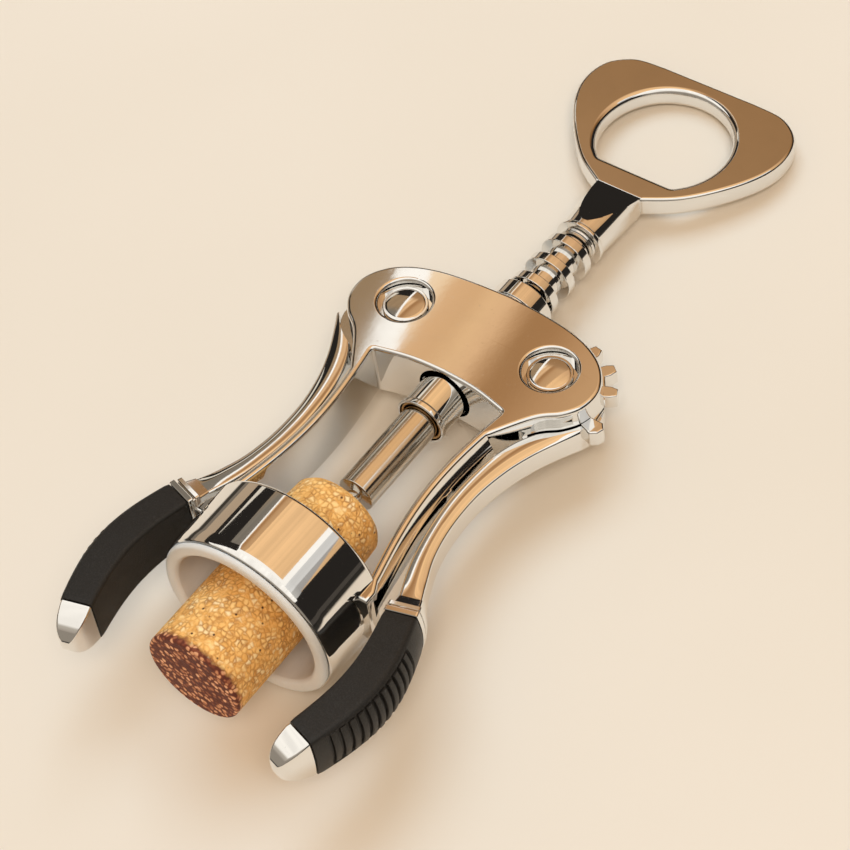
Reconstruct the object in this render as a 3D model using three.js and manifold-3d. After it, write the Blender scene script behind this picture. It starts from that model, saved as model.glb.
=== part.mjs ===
// A wing corkscrew: two geared levers, a ring rack and a turning spindle in a cast frame.
// Millimetres. +Y runs up the spindle towards the crown, +Z out of the front plate.
// Heights are measured along the spindle from the mouth of the bell.
import * as THREE from 'three';
import { mergeVertices } from 'three/addons/utils/BufferGeometryUtils.js';
import Module from 'manifold-3d';

const wasm = await Module();
wasm.setup();

// Clearances and cutting
const runningGap = 0.3;
const seatGap = 0.25;
const overrun = 4;

// Frame
const pinSpacing = 34;
const pinHeight = 73.4;
const headThickness = 12.8;
const headRise = 11.6;
const shoulderReach = 10.9;
const windowDrop = 13.2;
const windowCrownRise = 2.1;
const windowInset = 1.9;
const slotWidth = 4.2;
const legWidth = 1.8;
const legWaist = 2.75;
const legFootInset = 2.2;
const legFootDepth = 5.2;
const legFootSpread = 0.8;
const webStep = 1.2;
const webThickness = 6;
const edgeRound = 0.5;
const cornerRound = 0.35;

// Bell and its liner
const bellRadius = 19;
const bellTop = 17;
const bellWall = 1.7;
const bellShoulder = 1.6;
const bellHoleRadius = 12.4;
const linerWall = 1.6;
const linerLip = 1.1;
const linerFlange = 1.5;
const linerLand = 1.2;

// Rack sleeve and the guides it slides in
const rackRadius = 5.3;
const grooveDepth = 1.4;
const ringPitch = 5.8;
const ringCount = 7;
const ringLand = 2.1;
const ringBase = 3.9;
const meshOffset = 1.2;
const grooveStub = 0.8;
const collarDrop = 19.4;
const bushLength = 4;
const bushFlangeRadius = 6.3;
const bushWall = 0.35;
const bushTail = 3.6;

// Spindle: crown, shank and worm
const shankRadius = 3.85;
const shankEnd = 34;
const shankShoulderDrop = 13;
const journalRadius = 2;
const journalSocket = 9;
const sleeveBushWall = 0.4;
const sleeveBushLength = 3;
const washerThickness = 0.6;
const neckRadius = 5.2;
const neckLength = 15;
const neckFacetStart = 2;
const crownHalfWidth = 24.3;
const crownLength = 35.2;
const crownThickness = 4.6;
const crownWeb = 4;
const crownLipHeight = 6.3;
const crownCutShare = 0.78;
const crownRound = 0.9;
const wireRadius = 1.3;
const coilRadius = 2.9;
const coilPitch = 9;
const wormSocket = 5;
const wormTipRadius = 0.25;

// Cork
const corkLength = 43.8;
const corkRadius = 10.1;
const corkTopRadius = 9.4;
const corkGap = 4.7;
const corkRound = 1.2;
const corkFloor = 2.6;

// Levers
const gearThickness = 3.4;
const armThickness = 6;
const armWidth = 4.5;
const armClearance = 0.7;
const armRelief = 0.6;
const armTopReach = 5.6;
const armTopDrop = 15.4;
const channelDepth = 0.5;
const channelRim = 0.8;
const toothCount = 7;
const toothTip = 1.6;
const toothRoot = 3.1;
const hubRelief = 1.1;
const ferruleLength = 4.3;

// Pins
const pinRadius = 3;
const pinHeadRadius = 4.5;
const pinWellRadius = 5.35;
const pinWellDepth = 2.2;
const pinHeadThickness = 0.7;
const pinHeadDome = 0.9;
const pinTailRadius = 2.3;
const wellChamfer = 0.5;

// Grips and lever tips
const gripTop = 13.6;
const gripLength = 28.8;
const gripStandoff = 6.6;
const gripBow = 2.6;
const gripWidth = 6.8;
const gripHeight = 11.4;
const gripBulge = 1.9;
const gripCorner = 0.6;
const ribCount = 9;
const ribPitch = 2.5;
const ribWidth = 0.9;
const ribDepth = 0.55;
const ribEnd = 1.1;
const tangWidth = 3.2;
const tangHeight = 4.2;
const tangEnd = 3;
const tipLength = 6.4;

// Numbers of steps and sides
const roundSides = 32;
const smallSides = 20;
const edgeSteps = 20;
const gripSteps = 9;
const bulgeSteps = 4;
const roundSteps = 2;
const coilSteps = 10;
const wireSides = 6;

// Places worked out from the sizes above
const pinX = pinSpacing / 2;
const headTop = pinHeight + headRise;
const windowCorner = pinHeight - windowDrop;
const halfHead = headThickness / 2;
const halfSlot = slotWidth / 2;
const linerRadius = bellRadius - bellWall - runningGap;
const linerBore = linerRadius - linerWall;
const grooveRadius = rackRadius - grooveDepth;
const gearRoot = pinX - rackRadius - runningGap;
const gearTip = pinX - grooveRadius - runningGap;
const gearPitch = (gearRoot + gearTip) / 2;
const armCutRadius = gearTip + runningGap + armRelief;
const slotRadius = gearTip + runningGap + seatGap;
const guideRadius = rackRadius + runningGap;
const sleeveBottom = pinHeight - collarDrop;
const sleeveTop = ringHeight(ringCount - 1) + ringBase / 2 + grooveStub;
const sleeveBore = journalRadius + runningGap;
const shankShoulder = pinHeight - shankShoulderDrop;
const neckBottom = sleeveTop + seatGap + washerThickness + seatGap;
const crownBottom = neckBottom + neckLength;
const crownHoleRadius = (crownLength - crownWeb - crownLipHeight) / (1 + crownCutShare);
const crownHoleMiddle = crownBottom + crownLength - crownWeb - crownHoleRadius;
const corkTop = shankEnd - corkGap;
const corkBottom = corkTop - corkLength;
const gripX = bellRadius + gripStandoff;
const gripBottom = gripTop - gripLength;

function ringHeight(index) {
  return pinHeight + meshOffset + (index - 1) * ringPitch;
}

// Mesh helpers

function welded(geometry) {
  const plain = geometry.clone();
  for (const name of Object.keys(plain.attributes)) {
    if (name !== 'position') plain.deleteAttribute(name);
  }
  const joined = mergeVertices(plain, runningGap / 1000);
  const source = joined.index.array;
  const kept = [];
  for (let i = 0; i < source.length; i += 3) {
    const [a, b, c] = [source[i], source[i + 1], source[i + 2]];
    if (a !== b && b !== c && c !== a) kept.push(a, b, c);
  }
  joined.setIndex(kept);
  return joined;
}

function signedVolume(geometry) {
  const position = geometry.attributes.position;
  const corners = [new THREE.Vector3(), new THREE.Vector3(), new THREE.Vector3()];
  const index = geometry.index.array;
  let sum = 0;
  for (let i = 0; i < index.length; i += 3) {
    corners.forEach((corner, k) => corner.fromBufferAttribute(position, index[i + k]));
    sum += corners[0].dot(corners[1].clone().cross(corners[2])) / 6;
  }
  return sum;
}

function turnedOut(geometry) {
  if (signedVolume(geometry) > 0) return geometry;
  const index = Array.from(geometry.index.array);
  for (let i = 0; i < index.length; i += 3) {
    [index[i + 1], index[i + 2]] = [index[i + 2], index[i + 1]];
  }
  geometry.setIndex(index);
  return geometry;
}

function solidOf(geometry) {
  const mesh = turnedOut(welded(geometry));
  return new wasm.Manifold(new wasm.Mesh({
    numProp: 3,
    vertProperties: new Float32Array(mesh.attributes.position.array),
    triVerts: new Uint32Array(mesh.index.array),
  }));
}

function geometryOf(solid) {
  const mesh = solid.getMesh();
  const geometry = new THREE.BufferGeometry();
  geometry.setAttribute('position', new THREE.BufferAttribute(mesh.vertProperties, 3));
  geometry.setIndex(new THREE.BufferAttribute(mesh.triVerts, 1));
  return geometry;
}

function joined(solids) {
  return solids.reduce((sum, solid) => sum.add(solid));
}

function cutBy(solid, cutters) {
  return cutters.reduce((left, cutter) => left.subtract(cutter), solid);
}

// A solid turned about the spindle's axis from [radius, height] pairs that close on themselves.
function turned(pairs, sides) {
  const profile = pairs.map(([radius, height]) => new THREE.Vector2(radius, height));
  if (!profile[0].equals(profile[profile.length - 1])) profile.push(profile[0].clone());
  return solidOf(new THREE.LatheGeometry(profile, sides));
}

function turnedOnAxis(pairs, sides) {
  const profile = pairs.map(([radius, height]) => new THREE.Vector2(radius, height));
  return solidOf(new THREE.LatheGeometry(profile, sides));
}

// A rod along the spindle's axis between two heights.
function rod(radius, low, high, sides) {
  return turnedOnAxis([[0, low], [radius, low], [radius, high], [0, high]], sides);
}

// A plate of even thickness about the plane of the levers.
function plate(outline, thickness, round = 0, steps = 1) {
  const shape = new THREE.Shape(outline);
  const geometry = new THREE.ExtrudeGeometry(shape, {
    depth: thickness - 2 * round,
    bevelEnabled: round > 0,
    bevelThickness: round,
    bevelSize: round,
    bevelOffset: -round,
    bevelSegments: steps,
  });
  return solidOf(geometry.translate(0, 0, round - thickness / 2));
}

// A disc or peg that stands on the front plate's normal, from [radius, depth] pairs.
function pegAt(x, y, pairs, sides) {
  const profile = pairs.map(([radius, depth]) => new THREE.Vector2(radius, depth));
  const geometry = new THREE.LatheGeometry(profile, sides);
  return solidOf(geometry.rotateX(Math.PI / 2).translate(x, y, 0));
}

// Skins rings of points that have the same count, with a fan over each end.
function lofted(rings) {
  const points = [];
  const index = [];
  const count = rings[0].length;
  rings.forEach((ring) => ring.forEach((point) => points.push(point.x, point.y, point.z)));
  for (let r = 0; r + 1 < rings.length; r += 1) {
    for (let i = 0; i < count; i += 1) {
      const next = (i + 1) % count;
      const [a, b] = [r * count + i, r * count + next];
      const [c, d] = [a + count, b + count];
      index.push(a, b, d, a, d, c);
    }
  }
  [[0, false], [rings.length - 1, true]].forEach(([r, last]) => {
    const centre = rings[r].reduce((sum, point) => sum.add(point), new THREE.Vector3());
    centre.divideScalar(count);
    const hub = points.length / 3;
    points.push(centre.x, centre.y, centre.z);
    for (let i = 0; i < count; i += 1) {
      const [a, b] = [r * count + i, r * count + ((i + 1) % count)];
      index.push(...(last ? [hub, a, b] : [hub, b, a]));
    }
  });
  const geometry = new THREE.BufferGeometry();
  geometry.setAttribute('position', new THREE.Float32BufferAttribute(points, 3));
  geometry.setIndex(index);
  return solidOf(geometry);
}

function mirrored(solid) {
  return solid.mirror([1, 0, 0]);
}

function bothSides(solid) {
  return solid.add(mirrored(solid));
}

function point(x, y) {
  return new THREE.Vector2(x, y);
}

function curveThrough(points, steps) {
  return new THREE.SplineCurve(points).getPoints(steps);
}

function flipped(points) {
  return points.map((at) => point(-at.x, at.y)).reverse();
}

// Frame

// The inner edge of the right leg bows in towards the spindle between its foot and the window.
function legInnerX(share) {
  const foot = bellRadius - legFootInset;
  const corner = pinX - windowInset;
  return THREE.MathUtils.lerp(foot, corner, share) - legWaist * Math.sin(Math.PI * share);
}

function legHeight(share) {
  return THREE.MathUtils.lerp(bellTop, windowCorner, share);
}

function legEdge(offset, from, to, steps) {
  const edge = [];
  for (let i = 0; i <= steps; i += 1) {
    const share = THREE.MathUtils.lerp(from, to, i / steps);
    edge.push(point(legInnerX(share) + offset, legHeight(share)));
  }
  return edge;
}

// Places on the right shoulder of the head, as shares of its half width and of its rise.
const shoulderShares = [
  [0, 1], [0.29, 0.98], [0.55, 0.94], [0.755, 0.863], [0.905, 0.742], [0.997, 0.565],
  [0.99, 0.367], [0.9, 0.21], [0.755, 0.07],
];
const legTopShare = 0.86;
const windowMidShare = 0.5;
const windowMidRiseShare = 0.78;

function headOutline() {
  const halfWidth = pinX + shoulderReach;
  const rise = headTop - windowCorner;
  const shoulder = shoulderShares.map(([x, y]) => point(x * halfWidth, windowCorner + y * rise));
  const outer = legEdge(legWidth, legTopShare, 0, edgeSteps / 2);
  const top = curveThrough([...shoulder, outer[0]], edgeSteps);
  const footX = bellRadius + legFootSpread;
  const foot = [point(footX, bellTop - legFootDepth / 2), point(footX, bellTop - legFootDepth)];
  const inner = legEdge(0, 0, 1, edgeSteps / 2);
  const corner = inner[inner.length - 1];
  const sill = curveThrough([
    corner,
    point(corner.x * windowMidShare, windowCorner + windowCrownRise * windowMidRiseShare),
    point(0, windowCorner + windowCrownRise),
  ], 6);
  const heel = point(bellRadius - legFootInset, bellTop - legFootDepth);
  const right = [...top, ...outer.slice(1), ...foot, heel, ...inner, ...sill.slice(1)];
  const left = flipped(right).slice(1, -1);
  return [...right, ...left];
}

function legWeb() {
  const inner = legEdge(0, 0, legTopShare, edgeSteps / 2);
  const outer = legEdge(legWidth + webStep, legTopShare, 0, edgeSteps / 2);
  return plate([...inner, ...outer], webThickness, cornerRound);
}

function bellRing() {
  const inner = bellRadius - bellWall;
  const mouth = linerLip + runningGap;
  return turned([
    [inner, mouth], [bellRadius - cornerRound, mouth], [bellRadius, mouth + cornerRound],
    [bellRadius, bellTop - edgeRound], [bellRadius - edgeRound, bellTop],
    [bellHoleRadius + edgeRound, bellTop], [bellHoleRadius, bellTop - edgeRound],
    [bellHoleRadius, bellTop - bellShoulder], [inner, bellTop - bellShoulder],
  ], roundSides);
}

function pinWell(side) {
  const ledge = halfHead - pinWellDepth;
  const rim = pinWellRadius + wellChamfer;
  const pairs = [
    [0, -halfHead - overrun], [rim, -halfHead - overrun], [rim, -halfHead],
    [pinWellRadius, wellChamfer - halfHead], [pinWellRadius, -ledge],
    [pinRadius + seatGap, -ledge], [pinRadius + seatGap, ledge], [pinWellRadius, ledge],
    [pinWellRadius, halfHead - wellChamfer], [rim, halfHead], [rim, halfHead + overrun],
    [0, halfHead + overrun],
  ];
  return pegAt(side * pinX, pinHeight, pairs, smallSides);
}

function gearSlot(side) {
  const pairs = [[0, -halfSlot], [slotRadius, -halfSlot], [slotRadius, halfSlot], [0, halfSlot]];
  return pegAt(side * pinX, pinHeight, pairs, roundSides);
}

function buildFrame() {
  const body = joined([plate(headOutline(), headThickness, edgeRound), bothSides(legWeb())]);
  const bellBore = rod(bellRadius - bellWall, -overrun, bellTop - bellShoulder, roundSides);
  const bellHole = rod(bellHoleRadius, bellTop - bellShoulder - overrun, bellTop, roundSides);
  const trimmed = cutBy(body, [bellBore, bellHole]);
  const rackPassage = rod(guideRadius + seatGap, windowCorner - overrun, headTop, roundSides);
  const bushHole = rod(guideRadius + bushWall + seatGap, headTop - bushTail - seatGap,
    headTop + overrun, roundSides);
  return cutBy(trimmed.add(bellRing()), [
    pinWell(-1), pinWell(1), gearSlot(-1), gearSlot(1), rackPassage, bushHole,
  ]);
}

function buildLiner() {
  const top = bellTop - bellShoulder - runningGap;
  const lipRadius = bellRadius - cornerRound;
  const flange = top - linerFlange;
  const mouthRadius = (linerBore + lipRadius) / 2;
  return turned([
    [linerBore, linerLip], [linerBore + cornerRound, cornerRound],
    [mouthRadius - linerLand / 2, 0], [mouthRadius + linerLand / 2, 0],
    [lipRadius - cornerRound, cornerRound], [lipRadius, linerLip - cornerRound],
    [lipRadius - cornerRound, linerLip], [linerRadius, linerLip], [linerRadius, top],
    [bellHoleRadius + runningGap, top], [bellHoleRadius + runningGap, flange],
    [linerBore, flange],
  ], roundSides);
}

function buildGuideBush() {
  const outer = guideRadius + bushWall;
  const seat = headTop + seatGap;
  const top = seat + bushLength;
  return turned([
    [guideRadius, headTop - bushTail], [outer, headTop - bushTail], [outer, seat],
    [bushFlangeRadius, seat], [bushFlangeRadius, top - cornerRound],
    [bushFlangeRadius - cornerRound, top], [guideRadius, top],
  ], roundSides);
}

// Pins

const pinDomeShare = 0.62;
const pinDomeRiseShare = 0.72;

function buildPivotPin(side) {
  const ledge = halfHead - pinWellDepth + seatGap;
  const head = ledge + pinHeadThickness;
  const shoulder = -ledge;
  const tail = shoulder - pinHeadThickness;
  const domeRadius = pinHeadRadius * pinDomeShare;
  return pegAt(side * pinX, pinHeight, [
    [0, head + pinHeadDome], [domeRadius, head + pinHeadDome * pinDomeRiseShare],
    [pinHeadRadius, head], [pinHeadRadius, ledge], [pinRadius, ledge], [pinRadius, shoulder],
    [pinTailRadius, shoulder], [pinTailRadius, tail], [0, tail],
  ], smallSides);
}

function buildPinCap(side) {
  const ledge = -(halfHead - pinWellDepth + seatGap);
  const face = ledge - pinHeadThickness;
  const bore = pinTailRadius + seatGap;
  const floor = face - seatGap;
  const dome = floor - pinHeadDome;
  const domeRadius = pinHeadRadius * pinDomeShare;
  const domeRim = floor - pinHeadDome * pinDomeRiseShare;
  return pegAt(side * pinX, pinHeight, [
    [0, floor], [bore, floor], [bore, ledge], [pinHeadRadius, ledge], [pinHeadRadius, floor],
    [domeRadius, domeRim], [0, dome],
  ], smallSides);
}

// Rack sleeve

function ringProfile(index) {
  const middle = ringHeight(index);
  return [
    [grooveRadius, middle - ringBase / 2], [rackRadius, middle - ringLand / 2],
    [rackRadius, middle + ringLand / 2], [grooveRadius, middle + ringBase / 2],
  ];
}

function buildRackSleeve() {
  const wellRadius = shankRadius + runningGap + sleeveBushWall + seatGap;
  const wellTop = shankShoulder + runningGap;
  const collarTop = ringHeight(0) - ringPitch / 2;
  const outer = [
    [wellRadius, sleeveBottom], [rackRadius - cornerRound, sleeveBottom],
    [rackRadius, sleeveBottom + cornerRound], [rackRadius, collarTop - cornerRound],
    [grooveRadius, collarTop],
  ];
  for (let i = 0; i < ringCount; i += 1) outer.push(...ringProfile(i));
  return turned([
    ...outer, [grooveRadius, sleeveTop], [sleeveBore, sleeveTop], [sleeveBore, wellTop],
    [wellRadius, wellTop],
  ], smallSides);
}

function buildSleeveBush() {
  const inner = shankRadius + runningGap;
  const outer = inner + sleeveBushWall;
  const low = sleeveBottom + cornerRound;
  const high = low + sleeveBushLength;
  return turned([[inner, low], [outer, low], [outer, high], [inner, high]], smallSides);
}

// Spindle

function buildThrustWasher() {
  const low = sleeveTop + seatGap;
  const high = low + washerThickness;
  return turned([[sleeveBore, low], [grooveRadius, low], [grooveRadius, high],
    [sleeveBore, high]], smallSides);
}

function buildShank() {
  const tail = neckBottom + journalSocket;
  const socket = wireRadius + seatGap;
  return turnedOnAxis([
    [0, shankEnd + wormSocket], [socket, shankEnd + wormSocket], [socket, shankEnd],
    [shankRadius - cornerRound, shankEnd], [shankRadius, shankEnd + cornerRound],
    [shankRadius, shankShoulder - cornerRound], [shankRadius - cornerRound, shankShoulder],
    [journalRadius, shankShoulder], [journalRadius, tail], [0, tail],
  ], smallSides);
}

// Places on the right edge of the crown, as shares of its half width and of its length.
const crownShares = [
  [0.218, 0], [0.5, 0.125], [0.762, 0.322], [0.94, 0.52], [1, 0.7], [0.94, 0.87],
  [0.74, 0.978], [0.46, 1],
];

function crownOutline() {
  const places = crownShares.map(([x, y]) => point(x * crownHalfWidth, crownBottom + y * crownLength));
  const right = curveThrough(places, edgeSteps);
  return [...right, ...flipped(right)];
}

// The opening for caps is a circle cut off by a straight lip on the neck's side.
function crownHole() {
  const half = Math.acos(crownCutShare);
  const start = half - Math.PI / 2;
  const sweep = 2 * (Math.PI - half);
  const path = [];
  for (let i = 0; i <= edgeSteps; i += 1) {
    const angle = start + (sweep * i) / edgeSteps;
    const way = point(Math.cos(angle), Math.sin(angle));
    path.push(point(0, crownHoleMiddle).addScaledVector(way, crownHoleRadius));
  }
  return new THREE.Path(path);
}

function crownPlate() {
  const shape = new THREE.Shape(crownOutline());
  shape.holes.push(crownHole());
  const geometry = new THREE.ExtrudeGeometry(shape, {
    depth: crownThickness - 2 * crownRound,
    bevelThickness: crownRound,
    bevelSize: crownRound,
    bevelOffset: -crownRound,
    bevelSegments: roundSteps,
  });
  return solidOf(geometry.translate(0, 0, crownRound - crownThickness / 2));
}

// A wedge that planes the round neck down to the crown's plate, on the front or the back.
function neckFacet(side) {
  const start = neckBottom + neckFacetStart;
  const end = crownBottom + 2 * crownRound;
  const fall = (neckRadius - crownThickness / 2) / (crownBottom - start);
  const low = neckRadius - fall * (end - start);
  const outline = [
    point(start, side * neckRadius), point(end, side * low),
    point(end, side * (neckRadius + overrun)), point(start, side * (neckRadius + overrun)),
  ];
  const depth = 2 * (neckRadius + overrun);
  const geometry = new THREE.ExtrudeGeometry(new THREE.Shape(outline), { depth, bevelEnabled: false });
  return solidOf(geometry.translate(0, 0, -depth / 2).rotateY(Math.PI / 2).rotateX(Math.PI / 2));
}

function buildCrown() {
  const flank = (ringBase - ringLand) / 2;
  const bore = journalRadius + seatGap;
  const neck = turnedOnAxis([
    [0, neckBottom], [grooveRadius, neckBottom], [rackRadius, neckBottom + flank],
    [rackRadius, neckBottom + neckFacetStart / 2], [neckRadius, neckBottom + neckFacetStart],
    [neckRadius, crownBottom + crownRound], [0, crownBottom + crownRound],
  ], roundSides);
  const shaped = cutBy(neck, [neckFacet(1), neckFacet(-1)]);
  const socket = rod(bore, neckBottom - overrun, neckBottom + journalSocket + seatGap, smallSides);
  return shaped.add(crownPlate()).subtract(socket);
}

// The worm leaves the shank on its axis, swells out to its coil and ends in a point.
const swellShare = 0.6;
const pointShare = 0.7;

function wormPlace(travel) {
  const coilTravel = Math.max(0, travel - wormSocket);
  const turns = coilTravel / coilPitch;
  const spread = THREE.MathUtils.smoothstep(turns, 0, swellShare);
  const angle = -2 * Math.PI * turns;
  const radius = coilRadius * spread;
  const height = shankEnd + wormSocket - seatGap - travel;
  return new THREE.Vector3(Math.sin(angle) * radius, height, Math.cos(angle) * radius);
}

function wormStations() {
  const length = wormSocket - seatGap + shankEnd - (corkBottom + corkFloor);
  const steps = Math.round((coilSteps * length) / coilPitch);
  const pointLength = pointShare * coilPitch;
  const stations = [];
  for (let i = 0; i <= steps; i += 1) {
    const travel = (length * i) / steps;
    const left = Math.min(1, (length - travel) / pointLength);
    const radius = THREE.MathUtils.lerp(wormTipRadius, wireRadius, Math.sqrt(left));
    stations.push({ travel, radius, centre: wormPlace(travel) });
  }
  return stations;
}

function buildWorm() {
  const nudge = coilPitch / 1000;
  const rings = wormStations().map(({ travel, radius, centre }) => {
    const ahead = wormPlace(travel + nudge).sub(wormPlace(Math.max(0, travel - nudge))).normalize();
    const out = new THREE.Vector3(0, 0, 1).applyAxisAngle(new THREE.Vector3(0, 1, 0),
      -2 * Math.PI * (travel / coilPitch));
    const across = new THREE.Vector3().crossVectors(ahead, out).normalize();
    const square = new THREE.Vector3().crossVectors(across, ahead);
    const ring = [];
    for (let k = 0; k < wireSides; k += 1) {
      const angle = (2 * Math.PI * k) / wireSides;
      ring.push(centre.clone().addScaledVector(square, Math.cos(angle) * radius)
        .addScaledVector(across, Math.sin(angle) * radius));
    }
    return ring;
  });
  return lofted(rings);
}

function wormSelfGap() {
  const stations = wormStations();
  let least = Infinity;
  stations.forEach((a, i) => stations.slice(i + coilSteps / 2).forEach((b) => {
    least = Math.min(least, a.centre.distanceTo(b.centre) - a.radius - b.radius);
  }));
  return least;
}

// Cork

function buildCork() {
  const bore = coilRadius + wireRadius + runningGap;
  const floor = corkBottom + corkFloor - 2 * runningGap;
  return turned([
    [0, corkBottom], [corkRadius - cornerRound, corkBottom], [corkRadius, corkBottom + cornerRound],
    [corkRadius, corkBottom + corkLength / 2], [corkTopRadius, corkTop - corkRound],
    [corkTopRadius - corkRound / 3, corkTop - corkRound / 3], [corkTopRadius - corkRound, corkTop],
    [bore, corkTop], [bore, floor], [0, floor],
  ], roundSides);
}

// Levers. Each is drawn for the right side and mirrored for the left.

function gripPlace(share) {
  const x = gripX + gripBow * Math.sin(Math.PI * share);
  return new THREE.Vector3(x, gripTop - gripLength * share, 0);
}

function gripFrame(share) {
  const slope = (gripBow * Math.PI * Math.cos(Math.PI * share)) / gripLength;
  const down = new THREE.Vector3(slope, -1, 0).normalize();
  const out = new THREE.Vector3(-down.y, down.x, 0);
  return { centre: gripPlace(share), down, out };
}

// A ring of [outward, upward] pairs set square to the grip's line.
function sectionRing({ centre, out }, pairs) {
  return pairs.map(([across, up]) => {
    const at = centre.clone().addScaledVector(out, across);
    at.z += up;
    return at;
  });
}

function gripSection(width, height, bulge) {
  const [w, h, c] = [width / 2, height / 2, gripCorner];
  const pairs = [[-w, c - h], [c - w, -h], [w - c, -h]];
  for (let i = 0; i <= bulgeSteps; i += 1) {
    const up = ((2 * i) / bulgeSteps - 1) * (h - c);
    pairs.push([w + bulge * (1 - (up / (h - c)) ** 2), up]);
  }
  pairs.push([w - c, h], [c - w, h], [-w, h - c]);
  return pairs;
}

function boxSection(width, height) {
  const [w, h] = [width / 2, height / 2];
  return [[-w, -h], [w, -h], [w, h], [-w, h]];
}

const gripEndShare = 0.93;
const bulgeEndShare = 0.4;

function bulgeAt(share) {
  return gripBulge * THREE.MathUtils.lerp(bulgeEndShare, 1, Math.sin(Math.PI * share));
}

function gripRing(share) {
  const swell = THREE.MathUtils.lerp(gripEndShare, 1, Math.sin(Math.PI * share));
  return sectionRing(gripFrame(share), gripSection(gripWidth * swell, gripHeight * swell, bulgeAt(share)));
}

function alongGrip(from, to, make) {
  const rings = [];
  for (let i = 0; i <= gripSteps; i += 1) rings.push(make(THREE.MathUtils.lerp(from, to, i / gripSteps)));
  return lofted(rings);
}

// A groove across the outer side of the grip, clear of its flat faces.
function ribGroove(index) {
  const middle = 0.5 + ((index - (ribCount - 1) / 2) * ribPitch) / gripLength;
  const frame = gripFrame(middle);
  const half = gripHeight / 2 - gripCorner;
  const pairs = [];
  for (let i = 0; i <= bulgeSteps; i += 1) {
    const up = ((2 * i) / bulgeSteps - 1) * (half - ribEnd);
    pairs.push([gripWidth / 2 + bulgeAt(middle) * (1 - (up / half) ** 2) - ribDepth, up]);
  }
  const reach = gripWidth / 2 + gripBulge + overrun;
  pairs.push([reach, half - ribEnd], [reach, ribEnd - half]);
  const rings = [-ribWidth / 2, ribWidth / 2].map((shift) => {
    const moved = { centre: frame.centre.clone().addScaledVector(frame.down, shift), out: frame.out };
    return sectionRing(moved, pairs);
  });
  return lofted(rings);
}

function tangBore() {
  const pairs = boxSection(tangWidth + 2 * runningGap, tangHeight + 2 * runningGap);
  const past = overrun / gripLength;
  return alongGrip(-past, 1 + past, (share) => sectionRing(gripFrame(share), pairs));
}

function buildGrip() {
  const grooves = [];
  for (let i = 0; i < ribCount; i += 1) grooves.push(ribGroove(i));
  return cutBy(alongGrip(0, 1, gripRing), [tangBore(), ...grooves]);
}

// The tip carries on along the grip's end: [length share, width share, height share] of its form.
const tipShares = [
  [0, 0.94, 0.94], [0.3, 0.9, 0.92], [0.62, 0.76, 0.82], [0.84, 0.56, 0.64], [1, 0.26, 0.34],
];

function afterGrip(frame, distance) {
  return { centre: frame.centre.clone().addScaledVector(frame.down, distance), out: frame.out };
}

function buildTip() {
  const end = gripFrame(1);
  const rings = tipShares.map(([along, wide, high]) => sectionRing(
    afterGrip(end, runningGap + along * tipLength),
    gripSection(gripWidth * gripEndShare * wide, gripHeight * gripEndShare * high, bulgeAt(1) * high),
  ));
  const pairs = boxSection(tangWidth + 2 * runningGap, tangHeight + 2 * runningGap);
  const socket = lofted([-overrun, tangEnd + 2 * runningGap].map(
    (distance) => sectionRing(afterGrip(end, distance), pairs),
  ));
  return lofted(rings).subtract(socket);
}

function tang() {
  const end = gripFrame(1);
  const pairs = boxSection(tangWidth, tangHeight);
  const start = -2 * runningGap / gripLength;
  const body = alongGrip(start, 1, (share) => sectionRing(gripFrame(share), pairs));
  const tail = lofted([-tangEnd, tangEnd].map(
    (distance) => sectionRing(afterGrip(end, distance), pairs),
  ));
  return body.add(tail);
}

// The stepped collar between arm and grip: [length share, width share, height share].
const ferruleShares = [
  [0, 0.96, 0.96], [0.24, 0.94, 0.9], [0.3, 0.84, 0.7], [0.48, 0.84, 0.68], [0.54, 0.82, 0.74],
  [1, 0.68, 0.56],
];

function ferruleFrame(distance) {
  const top = gripFrame(0);
  return { centre: top.centre.clone().addScaledVector(top.down, -distance), out: top.out };
}

function ferrule() {
  const rings = ferruleShares.map(([along, wide, high]) => sectionRing(
    ferruleFrame(runningGap + along * ferruleLength),
    gripSection(gripWidth * gripEndShare * wide, gripHeight * gripEndShare * high, bulgeAt(0) * high),
  ));
  return lofted(rings);
}

// The arm's middle line bows in beside the leg and out again to the gear.
function armLine(share) {
  const foot = ferruleFrame(runningGap + ferruleLength).centre;
  const topX = pinX + armTopReach;
  const topY = pinHeight - armTopDrop;
  const waistX = legInnerX(0.5) + legWidth + webStep + armClearance + armWidth / 2;
  const bow = (foot.x + topX) / 2 - waistX;
  const x = THREE.MathUtils.lerp(foot.x, topX, share) - bow * Math.sin(Math.PI * share);
  return point(x, THREE.MathUtils.lerp(foot.y, topY, share));
}

function armEdge(side, inset, from, to) {
  const edge = [];
  for (let i = 0; i <= edgeSteps; i += 1) {
    const share = THREE.MathUtils.lerp(from, to, i / edgeSteps);
    const step = 1 / edgeSteps / 10;
    const along = armLine(share + step).sub(armLine(share - step)).normalize();
    const out = point(along.y, -along.x);
    edge.push(armLine(share).addScaledVector(out, side * (armWidth / 2 - inset)));
  }
  return edge;
}

const armRootAngle = THREE.MathUtils.degToRad(-31);
const armInsideReachShare = 0.2;
const armInsideDropShare = 0.6;

function armOutline() {
  const rootX = pinX + Math.cos(armRootAngle) * gearTip;
  const rootY = pinHeight + Math.sin(armRootAngle) * gearTip;
  const inside = point(pinX + gearRoot * armInsideReachShare, pinHeight - gearRoot * armInsideDropShare);
  return [
    ...armEdge(1, 0, 0, 1), point(rootX, rootY), point(pinX + gearRoot * armInsideDropShare, pinHeight),
    inside, ...armEdge(-1, 0, 1, 0),
  ];
}

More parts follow.
